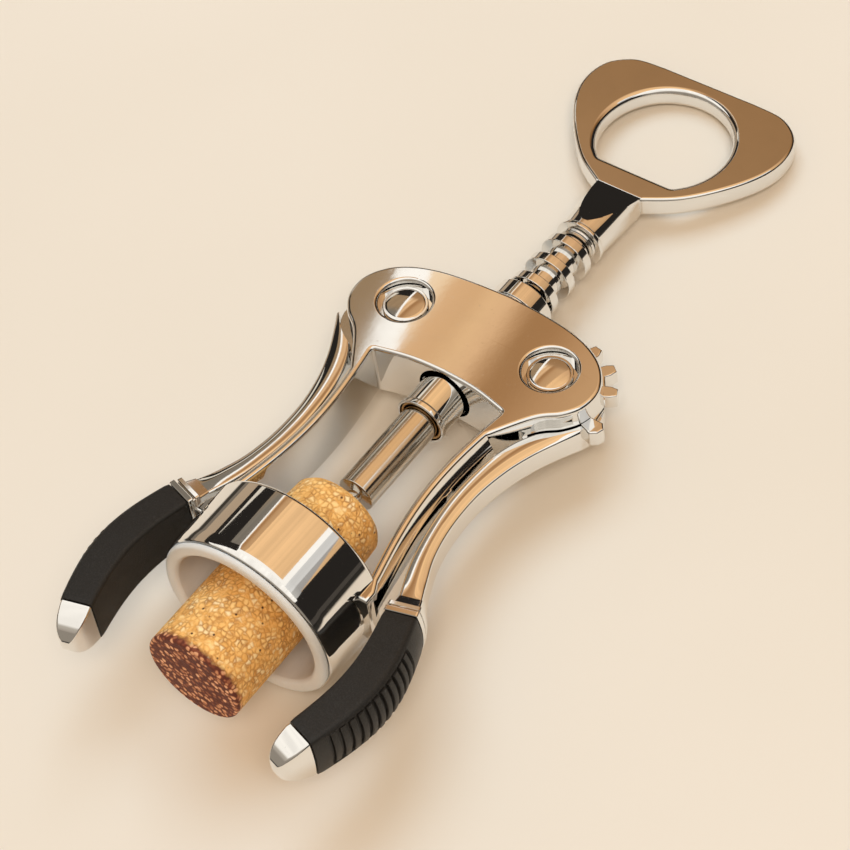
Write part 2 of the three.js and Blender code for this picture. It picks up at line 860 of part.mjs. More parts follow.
function armChannel(side) {
  const outline = [
    ...armEdge(1, channelRim, channelFromShare, channelToShare),
    ...armEdge(-1, channelRim, channelToShare, channelFromShare),
  ];
  const lift = side * (armThickness / 2 + overrun / 2 - channelDepth);
  return plate(outline, overrun).translate([0, 0, lift]);
}

const channelFromShare = 0.04;
const channelToShare = 0.93;

// One tooth of the lever's gear, tapered from root to tip.
function gearTooth(angle) {
  const low = gearRoot - grooveDepth;
  const outline = [
    point(low, -toothRoot / 2), point(gearRoot, -toothRoot / 2), point(gearTip, -toothTip / 2),
    point(gearTip, toothTip / 2), point(gearRoot, toothRoot / 2), point(low, toothRoot / 2),
  ].map((at) => at.rotateAround(point(0, 0), angle).add(point(pinX, pinHeight)));
  return plate(outline, gearThickness);
}

function toothAngles() {
  const pitch = ringPitch / gearPitch;
  const gap = Math.PI - meshOffset / gearPitch;
  const angles = [];
  for (let k = 0; k < toothCount; k += 1) angles.push(gap + pitch / 2 - k * pitch);
  return angles;
}

// The plain rim between the last tooth and the arm.
const rimFrom = THREE.MathUtils.degToRad(-8);
const rimTo = THREE.MathUtils.degToRad(-60);
const rimSteps = 8;

function gearRim() {
  const outline = [point(pinX, pinHeight)];
  for (let i = 0; i <= rimSteps; i += 1) {
    const angle = THREE.MathUtils.lerp(rimTo, rimFrom, i / rimSteps);
    outline.push(point(pinX + Math.cos(angle) * gearTip, pinHeight + Math.sin(angle) * gearTip));
  }
  return plate(outline, gearThickness);
}

function peg(radius, thickness) {
  const half = thickness / 2;
  return pegAt(pinX, pinHeight, [[0, -half], [radius, -half], [radius, half], [0, half]], roundSides);
}

function buildLever() {
  const arm = cutBy(plate(armOutline(), armThickness, cornerRound), [
    peg(armCutRadius, armThickness + overrun), armChannel(1), armChannel(-1),
  ]);
  const solids = [
    arm, plate(armOutline(), gearThickness), peg(gearRoot - hubRelief, gearThickness), gearRim(),
    ...toothAngles().map(gearTooth), ferrule(), tang(),
  ];
  return joined(solids).subtract(peg(pinRadius + runningGap, gearThickness + overrun));
}

// Assembly

const finishes = {
  chrome: { color: 0xd9d9dc, roughness: 0.08, metalness: 1 },
  steel: { color: 0xb9b3aa, roughness: 0.28, metalness: 1 },
  bronze: { color: 0xb07a3c, roughness: 0.35, metalness: 1 },
  liner: { color: 0xdcdad6, roughness: 0.45, metalness: 0 },
  grip: { color: 0x1b1a1a, roughness: 0.6, metalness: 0 },
  cork: { color: 0xc98f4a, roughness: 0.9, metalness: 0 },
};

function named(name, solid, finish) {
  const mesh = new THREE.Mesh(geometryOf(solid), new THREE.MeshStandardMaterial(finishes[finish]));
  mesh.name = name;
  return mesh;
}

function assembled() {
  const group = new THREE.Group();
  const lever = buildLever();
  const grip = buildGrip();
  const tip = buildTip();
  group.add(
    named('frame', buildFrame(), 'chrome'),
    named('bell_liner', buildLiner(), 'liner'),
    named('top_guide_bush', buildGuideBush(), 'chrome'),
    named('pivot_pin_left', buildPivotPin(-1), 'chrome'),
    named('pivot_pin_right', buildPivotPin(1), 'chrome'),
    named('pin_cap_left', buildPinCap(-1), 'chrome'),
    named('pin_cap_right', buildPinCap(1), 'chrome'),
    named('lever_left', mirrored(lever), 'chrome'),
    named('lever_right', lever, 'chrome'),
    named('grip_left', mirrored(grip), 'grip'),
    named('grip_right', grip, 'grip'),
    named('lever_tip_left', mirrored(tip), 'chrome'),
    named('lever_tip_right', tip, 'chrome'),
    named('rack_sleeve', buildRackSleeve(), 'chrome'),
    named('sleeve_bush', buildSleeveBush(), 'bronze'),
    named('thrust_washer', buildThrustWasher(), 'steel'),
    named('crown', buildCrown(), 'chrome'),
    named('shank', buildShank(), 'steel'),
    named('worm', buildWorm(), 'steel'),
    named('cork', buildCork(), 'cork'),
  );
  return group;
}

// The origin is the middle of the underside of the whole part's box.
function seated(group) {
  const box = new THREE.Box3().setFromObject(group);
  const middle = box.getCenter(new THREE.Vector3());
  group.position.set(-middle.x, -middle.y, -box.min.z);
  group.updateMatrixWorld(true);
  return group;
}

const corkscrew = seated(assembled());
console.log(`worm: least gap to itself ${wormSelfGap().toFixed(2)} mm`);

export default corkscrew;
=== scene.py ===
"""Wing corkscrew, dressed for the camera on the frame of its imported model.

Sizes are in millimetres in the spindle's own frame: y runs up the spindle from the mouth of
the bell to the crown, x runs across the levers and z comes out of the front plate. Every mesh
is placed in the row frame, in metres, as it is made.
"""
import logging
import math
from dataclasses import astuple, dataclass, field, fields
from enum import Enum
from typing import Callable, Iterable, Optional, Sequence, Union

import bmesh
import bpy
from mathutils import Matrix, Vector


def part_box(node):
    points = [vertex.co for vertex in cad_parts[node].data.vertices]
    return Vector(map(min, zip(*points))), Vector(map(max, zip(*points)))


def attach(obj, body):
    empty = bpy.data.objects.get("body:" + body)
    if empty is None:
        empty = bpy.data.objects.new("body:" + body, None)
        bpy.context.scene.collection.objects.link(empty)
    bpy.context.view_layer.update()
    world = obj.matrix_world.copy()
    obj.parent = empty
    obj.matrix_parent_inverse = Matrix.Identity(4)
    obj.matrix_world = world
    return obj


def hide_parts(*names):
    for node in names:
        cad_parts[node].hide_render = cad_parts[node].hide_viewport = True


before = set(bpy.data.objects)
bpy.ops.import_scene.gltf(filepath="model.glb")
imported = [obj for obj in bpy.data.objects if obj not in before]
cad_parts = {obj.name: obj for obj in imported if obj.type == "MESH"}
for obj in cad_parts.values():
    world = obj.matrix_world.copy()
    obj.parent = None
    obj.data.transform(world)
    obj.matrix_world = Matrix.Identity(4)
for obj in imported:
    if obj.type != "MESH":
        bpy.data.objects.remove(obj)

LOG = logging.getLogger("corkscrew")
MM = 0.001
BELL_SIDES, WIDE_SIDES, SIDES, SMALL_SIDES, BORE_SIDES = 192, 128, 96, 72, 64
SAME_POINT = 1e-7
NEAR_POINT = 2e-6

Pair = tuple[float, float]
Triple = tuple[float, float, float]
Tone = Triple
Stops = Sequence[tuple[float, Tone]]
Mesh = bpy.types.Mesh
Object = bpy.types.Object
Node = bpy.types.Node
Socket = bpy.types.NodeSocket
Tree = bpy.types.NodeTree
Material = bpy.types.Material
Value = Union[Socket, float, Triple]
Look = tuple[Socket, Socket]


class Side(Enum):
    """The two sides of the spindle, with the sign of their x."""

    LEFT = -1
    RIGHT = 1


class Body(Enum):
    """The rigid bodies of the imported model."""

    FRAME = "frame"
    LEVER_RIGHT = "lever_right"
    LEVER_LEFT = "lever_left"
    RACK = "rack"
    SPINDLE = "spindle"
    CORK = "cork"


class Slot(Enum):
    """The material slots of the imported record."""

    CHROME = "chrome_plate"
    STEEL = "bare_steel"
    BRONZE = "bronze"
    LINER = "pale_liner"
    GRIP = "black_grip"
    CORK = "cork"


def row_shift() -> Vector:
    """Finds where the spindle's own origin lies in the row frame.

    Returns:
        The origin in metres.
    """
    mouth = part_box("bell_liner")[0][1]
    low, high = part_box("frame")
    return Vector((0.0, mouth, (low[2] + high[2]) / 2))


SHIFT = row_shift()


def place(x: float, y: float, z: float) -> Vector:
    """A point of the spindle's frame, in millimetres, as a row point in metres."""
    return Vector((x * MM, y * MM, z * MM)) + SHIFT


# Lines


def polar(radius: float, angle: float) -> Pair:
    """The place at a radius and an angle in radians."""
    return radius * math.cos(angle), radius * math.sin(angle)


def evenly(start: float, end: float, steps: int) -> list[float]:
    """Evenly spaced values from start to end, with both of them."""
    return [start + (end - start) * i / steps for i in range(steps + 1)]


def filleted(points: Sequence[Pair], radius: float, steps: int = 4,
             closed: bool = False) -> list[Pair]:
    """Rounds the corners of a line of points.

    Args:
        points: The corners of the line.
        radius: The largest radius of a corner.
        steps: Segments in each round.
        closed: Whether the last point joins the first.

    Returns:
        The rounded line.
    """
    hairpin, straight, most = math.radians(4), math.radians(176), 0.45
    result: list[Pair] = []
    count = len(points)
    for i, here in enumerate(points):
        if not closed and i in (0, count - 1):
            result.append(here)
            continue
        at = Vector(here)
        back, ahead = Vector(points[i - 1]) - at, Vector(points[(i + 1) % count]) - at
        if min(back.length, ahead.length) < 1e-6:
            continue
        turn = back.angle(ahead)
        if not hairpin <= turn <= straight:
            result.append(here)
            continue
        reach = min(radius / math.tan(turn / 2), back.length * most, ahead.length * most)
        start, end = (at + way.normalized() * reach for way in (back, ahead))
        for t in evenly(0.0, 1.0, steps):
            bend = start * (1 - t) ** 2 + at * 2 * t * (1 - t) + end * t ** 2
            result.append((bend.x, bend.y))
    return result


def spline(points: Sequence[Pair], steps: int) -> list[Pair]:
    """Runs a smooth line through points.

    Args:
        points: The points.
        steps: Steps between one point and the next.

    Returns:
        The smooth line.
    """
    result: list[Pair] = []
    last = len(points) - 1
    for i in range(last):
        a, b, c, d = (Vector(points[k]) for k in (max(i - 1, 0), i, i + 1, min(i + 2, last)))
        for t in evenly(0.0, 1.0, steps)[:-1]:
            at = 0.5 * (2 * b + (c - a) * t + (2 * a - 5 * b + 4 * c - d) * t ** 2
                        + (3 * b - a - 3 * c + d) * t ** 3)
            result.append((at.x, at.y))
    return [*result, tuple(points[-1])]


def mirrored_line(points: Sequence[Pair]) -> list[Pair]:
    """The line seen in the mirror plane of the spindle, run backwards."""
    return [(-x, y) for x, y in reversed(points)]


def doubled(points: Sequence[Pair]) -> list[Pair]:
    """A line of (place, depth) pairs, followed by its mirror image at the back."""
    return [*points, *[(x, -z) for x, z in reversed(points)]]


# Meshes


class Opened:
    """A mesh opened for an edit, which is written back at the end."""

    def __init__(self, mesh: Mesh) -> None:
        """Keeps the mesh and makes room for the edit."""
        self.mesh, self.work = mesh, bmesh.new()

    def __enter__(self) -> bmesh.types.BMesh:
        """Reads the mesh."""
        self.work.from_mesh(self.mesh)
        return self.work

    def __exit__(self, *_: object) -> None:
        """Writes the mesh back."""
        self.work.to_mesh(self.mesh)
        self.work.free()


def mended(mesh: Mesh) -> Mesh:
    """Merges a mesh's doubled points and turns its faces outwards.

    Args:
        mesh: The mesh, which is changed.

    Returns:
        The same mesh.
    """
    with Opened(mesh) as work:
        bmesh.ops.remove_doubles(work, verts=work.verts, dist=SAME_POINT)
        bmesh.ops.recalc_face_normals(work, faces=work.faces)
    return mesh


def hung(name: str, data: bpy.types.ID) -> Object:
    """Makes an object of its data and links it into the scene.

    Args:
        name: The object's name.
        data: Its mesh, curve, lamp or camera.

    Returns:
        The linked object.
    """
    made = bpy.data.objects.new(name, data)
    bpy.context.scene.collection.objects.link(made)
    return made


def evaluated(made: Object) -> Mesh:
    """Works out an object's modifiers or its curve.

    Args:
        made: The object, which stays as it is.

    Returns:
        What it comes to, as a new plain mesh.
    """
    bpy.context.view_layer.update()
    graph = bpy.context.evaluated_depsgraph_get()
    return bpy.data.meshes.new_from_object(made.evaluated_get(graph))


def linked(name: str, mesh: Mesh) -> Object:
    """Links a mesh into the scene as a smooth shaded object."""
    mesh.name = name
    mesh.shade_smooth()
    return hung(name, mesh)


def mesh_object(name: str, points: Iterable[Vector], faces: Iterable[Sequence[int]]) -> Object:
    """Makes an object from row points and faces, with its faces turned outwards.

    Args:
        name: The object's name.
        points: Vertex places in the row frame, in metres.
        faces: Vertex numbers of each face.

    Returns:
        The linked object, smooth shaded.
    """
    mesh = bpy.data.meshes.new(name)
    mesh.from_pydata([tuple(p) for p in points], [], [tuple(f) for f in faces])
    return linked(name, mended(mesh))


def shaded(made: Object, sharp_degrees: float = 32.0) -> Object:
    """Marks sharp edges and weights the normals so that flats stay flat.

    Args:
        made: The object to shade.
        sharp_degrees: Edges that turn by more than this stay crisp.

    Returns:
        The same object.
    """
    facing, level, sharp = 0.99999, 0.002, math.radians(sharp_degrees)
    with Opened(made.data) as work:
        flat = [edge for edge in work.edges if len(edge.link_faces) == 2
                and all(abs(face.normal.z) > facing for face in edge.link_faces)
                and edge.calc_face_angle(1.0) < level]
        bmesh.ops.dissolve_limit(work, angle_limit=0.003, verts=[], edges=flat)
        for edge in work.edges:
            edge.smooth = len(edge.link_faces) == 2 and edge.calc_face_angle(0.0) <= sharp
    weights = made.modifiers.new("flat faces", "WEIGHTED_NORMAL")
    weights.keep_sharp = True
    weights.weight = 80
    return made


def revolved(name: str, line: Sequence[Pair], sides: int,
             at: Callable[[float, float, float], Vector]) -> Object:
    """Turns (radius, along) pairs about an axis, and closes the line unless it starts on it.

    Args:
        name: The object's name.
        line: (radius, along) pairs in millimetres.
        sides: Segments around.
        at: The row point of two places across the axis and one along it.

    Returns:
        The turned object.
    """
    rings, on_axis = len(line), line[0][0] == 0
    points = [at(*polar(radius, 2 * math.pi * k / sides), along)
              for radius, along in line for k in range(sides)]
    faces = []
    for r in range(rings - 1 if on_axis else rings):
        here, ahead = r * sides, (r + 1) % rings * sides
        faces += [(here + k, here + (k + 1) % sides, ahead + (k + 1) % sides, ahead + k)
                  for k in range(sides)]
    return mesh_object(name, points, faces)


def lathe(name: str, profile: Sequence[Pair], sides: int = SIDES, round_off: float = 0.0) -> Object:
    """Turns a closed or axis-to-axis profile about the spindle's axis.

    Args:
        name: The object's name.
        profile: (radius, height) pairs in millimetres.
        sides: Segments around.
        round_off: Radius of the profile's rounded corners.

    Returns:
        The turned object.
    """
    if round_off:
        profile = filleted(profile, round_off, closed=profile[0][0] != 0)
    return revolved(name, profile, sides, lambda x, z, y: place(x, y, z))


def peg(name: str, centre: Pair, profile: Sequence[Pair], sides: int = SIDES) -> Object:
    """Turns a profile about a line square to the front plate.

    Args:
        name: The object's name.
        centre: Where the line crosses the plate.
        profile: (radius, depth) pairs in millimetres.
        sides: Segments around.

    Returns:
        The turned object.
    """
    middle_x, middle_y = centre
    return revolved(name, profile, sides, lambda x, y, z: place(middle_x + x, middle_y + y, z))


def rod(radius: float, low: float, high: float) -> list[Pair]:
    """The profile of a plain rod on the spindle's axis."""
    return [(0.0, low), (radius, low), (radius, high), (0.0, high)]


def tube(inner: float, outer: float, low: float, high: float) -> list[Pair]:
    """The profile of a plain tube about the spindle's axis."""
    return [(inner, low), (outer, low), (outer, high), (inner, high)]


def loft(name: str, rings: Sequence[Sequence[Vector]]) -> Object:
    """Skins rings of millimetre points and closes both ends.

    Args:
        name: The object's name.
        rings: Rings of equal count, in order.

    Returns:
        The skinned object.
    """
    count = len(rings[0])
    last = (len(rings) - 1) * count
    faces: list[Sequence[int]] = []
    for low in range(0, last, count):
        for k in range(count):
            a, b = low + k, low + (k + 1) % count
            faces.append((a, b, b + count, a + count))
    faces += [range(count), range(last, last + count)]
    return mesh_object(name, [place(*p) for ring in rings for p in ring], faces)


def rounded_plate(name: str, outlines: Sequence[Sequence[Pair]], thickness: float,
                  edge: float, steps: int = 4) -> Object:
    """Makes a flat plate about the plane of the levers, with holes and rounded edges.

    Args:
        name: The object's name.
        outlines: The outer line, then the holes.
        thickness: Its thickness in millimetres.
        edge: The radius of its rounded edges.
        steps: Segments in each rounded edge.

    Returns:
        The plate as a mesh object in the row frame.
    """
    curve = bpy.data.curves.new(name, "CURVE")
    curve.dimensions = "2D"
    curve.fill_mode = "BOTH"
    for outline in outlines:
        line = curve.splines.new("POLY")
        line.points.add(len(outline) - 1)
        for at, (x, y) in zip(line.points, outline):
            at.co = (x * MM, y * MM, 0.0, 1.0)
        line.use_cyclic_u = True
    curve.bevel_depth = edge * MM
    curve.offset = -edge * MM
    curve.bevel_resolution = steps - 1
    curve.extrude = (thickness / 2 - edge) * MM
    flat = hung(name, curve)
    mesh = evaluated(flat)
    bpy.data.objects.remove(flat)
    bpy.data.curves.remove(curve)
    with Opened(mesh) as work:
        bmesh.ops.remove_doubles(work, verts=work.verts, dist=NEAR_POINT)
        bmesh.ops.dissolve_degenerate(work, edges=work.edges, dist=SAME_POINT)
        bmesh.ops.recalc_face_normals(work, faces=work.faces)
        bmesh.ops.translate(work, verts=work.verts, vec=SHIFT)
    return linked(name, mesh)


def cut(made: Object, cutters: Iterable[Object]) -> Object:
    """Takes cutters out of an object.

    Args:
        made: The object, which is changed.
        cutters: The cutters, which are removed from the scene.

    Returns:
        The same object.
    """
    for cutter in cutters:
        step = made.modifiers.new("cut", "BOOLEAN")
        step.operation, step.solver, step.object = "DIFFERENCE", "EXACT", cutter
        mesh, old = evaluated(made), made.data
        made.modifiers.remove(step)
        made.data = mesh
        bpy.data.meshes.remove(old)
        bpy.data.objects.remove(cutter)
    made.data.shade_smooth()
    return made


def joined(name: str, parts: Iterable[Object]) -> Object:
    """Joins finished parts of one piece into a single object.

    Args:
        name: The object's name.
        parts: The parts, which are removed from the scene.

    Returns:
        The joined object.
    """
    mesh = bpy.data.meshes.new(name)
    with Opened(mesh) as work:
        for part in parts:
            work.from_mesh(part.data)
            bpy.data.objects.remove(part)
    return linked(name, mesh)


def mirrored(name: str, source: Object) -> Object:
    """Moves a piece to the other side of the spindle.

    Args:
        name: The moved piece's name.
        source: The piece, which is removed from the scene.

    Returns:
        The moved piece.
    """
    made = joined(name, [source])
    with Opened(made.data) as work:
        bmesh.ops.scale(work, verts=work.verts, vec=Vector((-1.0, 1.0, 1.0)))
        bmesh.ops.reverse_faces(work, faces=work.faces)
    return made


# Node trees


class Nodes:
    """A small hand for building a node tree."""

    def __init__(self, tree: Tree) -> None:
        """Keeps the tree that nodes are added to."""
        self.tree = tree

    def link(self, value: Value, target: Socket) -> None:
        """Joins a socket to an input, or sets the input to a plain value.

        Args:
            value: A socket, a number or a colour.
            target: The input.
        """
        if isinstance(value, bpy.types.NodeSocket):
            self.tree.links.new(value, target)
        elif target.type == "RGBA":
            target.default_value = (*value, 1.0)
        else:
            target.default_value = value

    def add(self, kind: str, feeds: Optional[dict[Union[str, int], Value]] = None,
            **settings: object) -> Node:
        """Adds a node, sets its properties and feeds its inputs.

        Args:
            kind: The node's type name.
            feeds: What each input takes, by the input's name or number.
            **settings: Properties of the node.

        Returns:
            The new node.
        """
        node = self.tree.nodes.new(kind)
        for name, value in settings.items():
            setattr(node, name, value)
        for label, value in (feeds or {}).items():
            self.link(value, node.inputs[label])
        return node

    def place(self) -> Socket:
        """The piece's own coordinates."""
        return self.add("ShaderNodeTexCoord").outputs["Object"]

    def split(self, where: Socket) -> dict[str, Socket]:
        """The x, y and z of a place, by name."""
        return dict(self.add("ShaderNodeSeparateXYZ", {"Vector": where}).outputs.items())

    def stretched(self, where: Socket, scale: Triple) -> Socket:
        """A place with each of its directions scaled."""
        return self.add("ShaderNodeMapping", {"Vector": where, "Scale": scale}).outputs["Vector"]

    def noise(self, where: Socket, scale: Value, detail: float, roughness: float = 0.5) -> Socket:
        """A noise value at a place."""
        return self.add("ShaderNodeTexNoise", {"Vector": where, "Scale": scale, "Detail": detail,
                                               "Roughness": roughness}).outputs["Fac"]

    def ranged(self, value: Value, low: float, high: float, smooth: bool = False,
               to: Pair = (0.0, 1.0)) -> Socket:
        """Maps a value from one range to another and keeps it there.

        Args:
            value: The value.
            low: Where the range starts.
            high: Where it ends.
            smooth: Whether it eases in and out.
            to: What the start and the end become.

        Returns:
            The mapped value.
        """
        kind = "SMOOTHSTEP" if smooth else "LINEAR"
        node = self.add("ShaderNodeMapRange", {
            "Value": value, "From Min": low, "From Max": high, "To Min": to[0], "To Max": to[1],
        }, interpolation_type=kind)
        return node.outputs["Result"]

    def ramp(self, value: Socket, stops: Stops) -> Socket:
        """Runs a value through a colour ramp.

        Args:
            value: The value.
            stops: (place, colour) pairs in rising order.

        Returns:
            The ramp's colour.
        """
        node = self.add("ShaderNodeValToRGB", {"Fac": value})
        elements = node.color_ramp.elements
        while len(elements) < len(stops):
            elements.new(0.5)
        for element, (at, colour) in zip(elements, stops):
            element.position = at
            element.color = (*colour, 1.0)
        return node.outputs["Color"]

    def mix(self, factor: Socket, first: Value, second: Value) -> Socket:
        """Mixes two colours by a factor."""
        return self.add("ShaderNodeMix", {"Factor": factor, 6: first, 7: second},
                        data_type="RGBA").outputs[2]

    def math(self, kind: str, first: Value, second: Value = 0.0) -> Socket:
        """A sum of two values, named by its kind."""
        return self.add("ShaderNodeMath", {0: first, 1: second}, operation=kind).outputs[0]

    def times(self, first: Value, second: Value) -> Socket:
        """The product of two values."""
        return self.math("MULTIPLY", first, second)

    def plus(self, first: Value, second: Value) -> Socket:
        """The sum of two values."""
        return self.math("ADD", first, second)


class Pattern:
    """A Geometry Nodes tree with named inputs, whose result is kept as a plain mesh."""

    def __init__(self, name: str, inputs: dict[str, str]) -> None:
        """Makes the tree.

        Args:
            name: Its name.
            inputs: The kind of each of its inputs, by name.
        """
        self.tree = bpy.data.node_groups.new(name, "GeometryNodeTree")
        face = self.tree.interface
        self.sockets = {
            label: face.new_socket(name=label, in_out="INPUT",
                                   socket_type=f"NodeSocket{kind}").identifier
            for label, kind in {**inputs, "Finish": "Material"}.items()}
        face.new_socket(name="Geometry", in_out="OUTPUT", socket_type="NodeSocketGeometry")
        hand = Nodes(self.tree)
        source = dict(hand.add("NodeGroupInput").outputs.items())
        real = hand.add("GeometryNodeRealizeInstances", {"Geometry": self.fill(hand, source)})
        paint = hand.add("GeometryNodeSetMaterial", {"Geometry": real.outputs["Geometry"],
                                                     "Material": source["Finish"]})
        hand.add("NodeGroupOutput", {"Geometry": paint.outputs["Geometry"]})

    def fill(self, hand: Nodes, source: dict[str, Socket]) -> Socket:
        """Makes the pattern's geometry from the tree's inputs."""
        raise NotImplementedError

    def grow(self, name: str, values: dict[str, object], path: Sequence[Vector] = ()) -> Object:
        """Runs the tree once and keeps what it makes as a plain mesh.

        Args:
            name: The new object's name.
            values: The inputs' values by name.
            path: Row points of the line that the tree follows, if it takes one.

        Returns:
            An object with the tree's result and no modifier.
        """
        line = bpy.data.meshes.new(name)
        line.from_pydata([tuple(p) for p in path], [(i, i + 1) for i in range(len(path) - 1)], [])
        seed = hung(name, line)
        modifier = seed.modifiers.new("nodes", "NODES")
        modifier.node_group = self.tree
        for label, value in values.items():
            modifier[self.sockets[label]] = value
        mesh = evaluated(seed)
        bpy.data.objects.remove(seed)
        return linked(name, mended(mesh))


class Coil(Pattern):
    """A tapered wire wound round the spindle, straight at its top and pointed at its end."""

    steps: int = 420
    sides: int = 20
    straight: float = 5.0 * MM
    easing: float = 0.6
    sharpness: float = 0.015

    def __init__(self) -> None:
        """Makes the tree with its sizes as inputs."""
        labels = ("Wire Radius", "Coil Radius", "Pitch", "Length", "Point", "Top", "Axis Height")
        super().__init__("worm wire", dict.fromkeys(labels, "Float"))

    def fill(self, hand: Nodes, source: dict[str, Socket]) -> Socket:
        """Winds a line into the coil, gives it its wire and closes its point.

        Args:
            hand: The hand on the tree.
            source: The tree's inputs by name.

        Returns:
            The wire's geometry.
        """
        line = hand.add("GeometryNodeCurvePrimitiveLine").outputs["Curve"]
        fine = hand.add("GeometryNodeResampleCurve", {"Curve": line, "Count": self.steps})
        along = hand.add("GeometryNodeSplineParameter").outputs["Factor"]
        travel = hand.times(along, source["Length"])
        coiled = hand.math("MAXIMUM", hand.math("SUBTRACT", travel, self.straight), 0.0)
        turns = hand.math("DIVIDE", coiled, source["Pitch"])
        radius = hand.times(hand.ranged(turns, 0.0, self.easing, True), source["Coil Radius"])
        angle = hand.times(turns, -2 * math.pi)
        at = hand.add("ShaderNodeCombineXYZ", {
            "X": hand.times(hand.math("SINE", angle), radius),
            "Y": hand.math("SUBTRACT", source["Top"], travel),
            "Z": hand.plus(hand.times(hand.math("COSINE", angle), radius),
                           source["Axis Height"])})
        moved = hand.add("GeometryNodeSetPosition", {"Geometry": fine.outputs["Curve"],
                                                     "Position": at.outputs["Vector"]})
        left = hand.math("DIVIDE", hand.math("SUBTRACT", source["Length"], travel),
                         source["Point"])
        kept = hand.math("MINIMUM", hand.math("MAXIMUM", left, self.sharpness), 1.0)
        ring = hand.add("GeometryNodeCurvePrimitiveCircle", {"Resolution": self.sides,
                                                             "Radius": source["Wire Radius"]})
        return hand.add("GeometryNodeCurveToMesh", {
            "Curve": moved.outputs["Geometry"], "Profile Curve": ring.outputs["Curve"],
            "Scale": hand.math("SQRT", kept), "Fill Caps": True}).outputs["Mesh"]


class Row(Pattern):
    """Copies of one part, set along a path and square to it."""

    def __init__(self) -> None:
        """Makes the tree with its path, its part and their count as inputs."""
        super().__init__("row of parts", {"Path": "Geometry", "Count": "Int", "Part": "Object"})

    def fill(self, hand: Nodes, source: dict[str, Socket]) -> Socket:
        """Spaces points along the path and sets a turned copy of the part on each.

        Args:
            hand: The hand on the tree.
            source: The tree's inputs by name.

        Returns:
            The copies' geometry.
        """
        line = hand.add("GeometryNodeMeshToCurve", {"Mesh": source["Path"]})
        spaced = hand.add("GeometryNodeResampleCurve", {"Curve": line.outputs["Curve"],
                                                        "Count": source["Count"]})
        way = hand.add("GeometryNodeInputTangent").outputs["Tangent"]
        turn = hand.add("FunctionNodeAlignRotationToVector", {"Vector": way}, axis="Y",
                        pivot_axis="Z")
        part = hand.add("GeometryNodeObjectInfo", {"Object": source["Part"]})
        return hand.add("GeometryNodeInstanceOnPoints", {
            "Points": spaced.outputs["Curve"], "Instance": part.outputs["Geometry"],
            "Rotation": turn.outputs["Rotation"]}).outputs["Instances"]

    def make(self, name: str, part: Object, count: int, path: Sequence[Vector],
             finish: Material) -> Object:
        """Sets the copies along a path and removes the part that they were made from.

        Args:
            name: The row's name.
            part: The part, which stands about the spindle frame's origin.
            count: How many copies.
            path: Row points of the path.
            finish: Its finish.

        Returns:
            All the copies as one plain mesh object.
        """
        part.data.transform(Matrix.Translation(-SHIFT))
        row = self.grow(name, {"Count": count, "Part": part, "Finish": finish}, path)
        bpy.data.objects.remove(part)
        return row


# Finishes


def fresh(name: str) -> tuple[Material, Nodes, Node]:
    """A new material, with a hand on its tree and its Principled node."""
    material = bpy.data.materials.new(name)
    material.use_nodes = True
    tree = material.node_tree
    return material, Nodes(tree), tree.nodes["Principled BSDF"]


@dataclass(frozen=True)
class Marks:
    """How finger smears and fine dust change a finish's roughness."""

    base: float
    smear: float
    dust: float
    smear_scale: float
    dust_scale: float


@dataclass(frozen=True)
class Waves:
    """How a surface waves, with a fine orange peel on top."""

    wave_scale: float
    fine_scale: float
    fine: float


SMEAR_EDGE, DUST_EDGE = (0.42, 0.72), (0.66, 0.78)


def handling(hand: Nodes, source: dict[str, Socket]) -> tuple[Socket, ...]:
    """Makes the roughness of smears and dust, and their mask.

    Args:
        hand: The hand on the group's tree.
        source: The group's inputs by name.

    Returns:
        The roughness and the mask.
    """
    where = hand.place()
    smear = hand.ranged(hand.noise(where, source["Smear Scale"], 4.0, 0.6), *SMEAR_EDGE)
    dust = hand.ranged(hand.noise(where, source["Dust Scale"], 2.0, 0.7), *DUST_EDGE)
    both = hand.plus(hand.times(smear, source["Smear"]), hand.times(dust, source["Dust"]))
    return hand.plus(both, source["Base"]), hand.math("MAXIMUM", smear, dust)


def ripple(hand: Nodes, source: dict[str, Socket]) -> tuple[Socket, ...]:
    """Makes the height of slow waves and orange peel.

    Args:
        hand: The hand on the group's tree.
        source: The group's inputs by name.

    Returns:
        The height.
    """
    where = hand.place()
    fine = hand.times(hand.noise(where, source["Fine Scale"], 3.0), source["Fine"])
    return (hand.plus(hand.noise(where, source["Wave Scale"], 1.0, 0.4), fine),)


def effect_group(name: str, settings: type, outputs: Sequence[str],
                 build: Callable[[Nodes, dict[str, Socket]], tuple[Socket, ...]]) -> Tree:
    """Makes a shared effect as a node group.

    Args:
        name: The group's name.
        settings: The dataclass whose fields are the group's inputs.
        outputs: The names of the values that it gives.
        build: Makes these values from the inputs.

    Returns:
        The node group.
    """
    tree = bpy.data.node_groups.new(name, "ShaderNodeTree")
    labels = [size.name.replace("_", " ").title() for size in fields(settings)]
    for way, names in (("INPUT", labels), ("OUTPUT", outputs)):
        for label in names:
            tree.interface.new_socket(name=label, in_out=way, socket_type="NodeSocketFloat")
    hand = Nodes(tree)
    made = build(hand, dict(hand.add("NodeGroupInput").outputs.items()))
    hand.add("NodeGroupOutput", dict(zip(outputs, made)))
    return tree


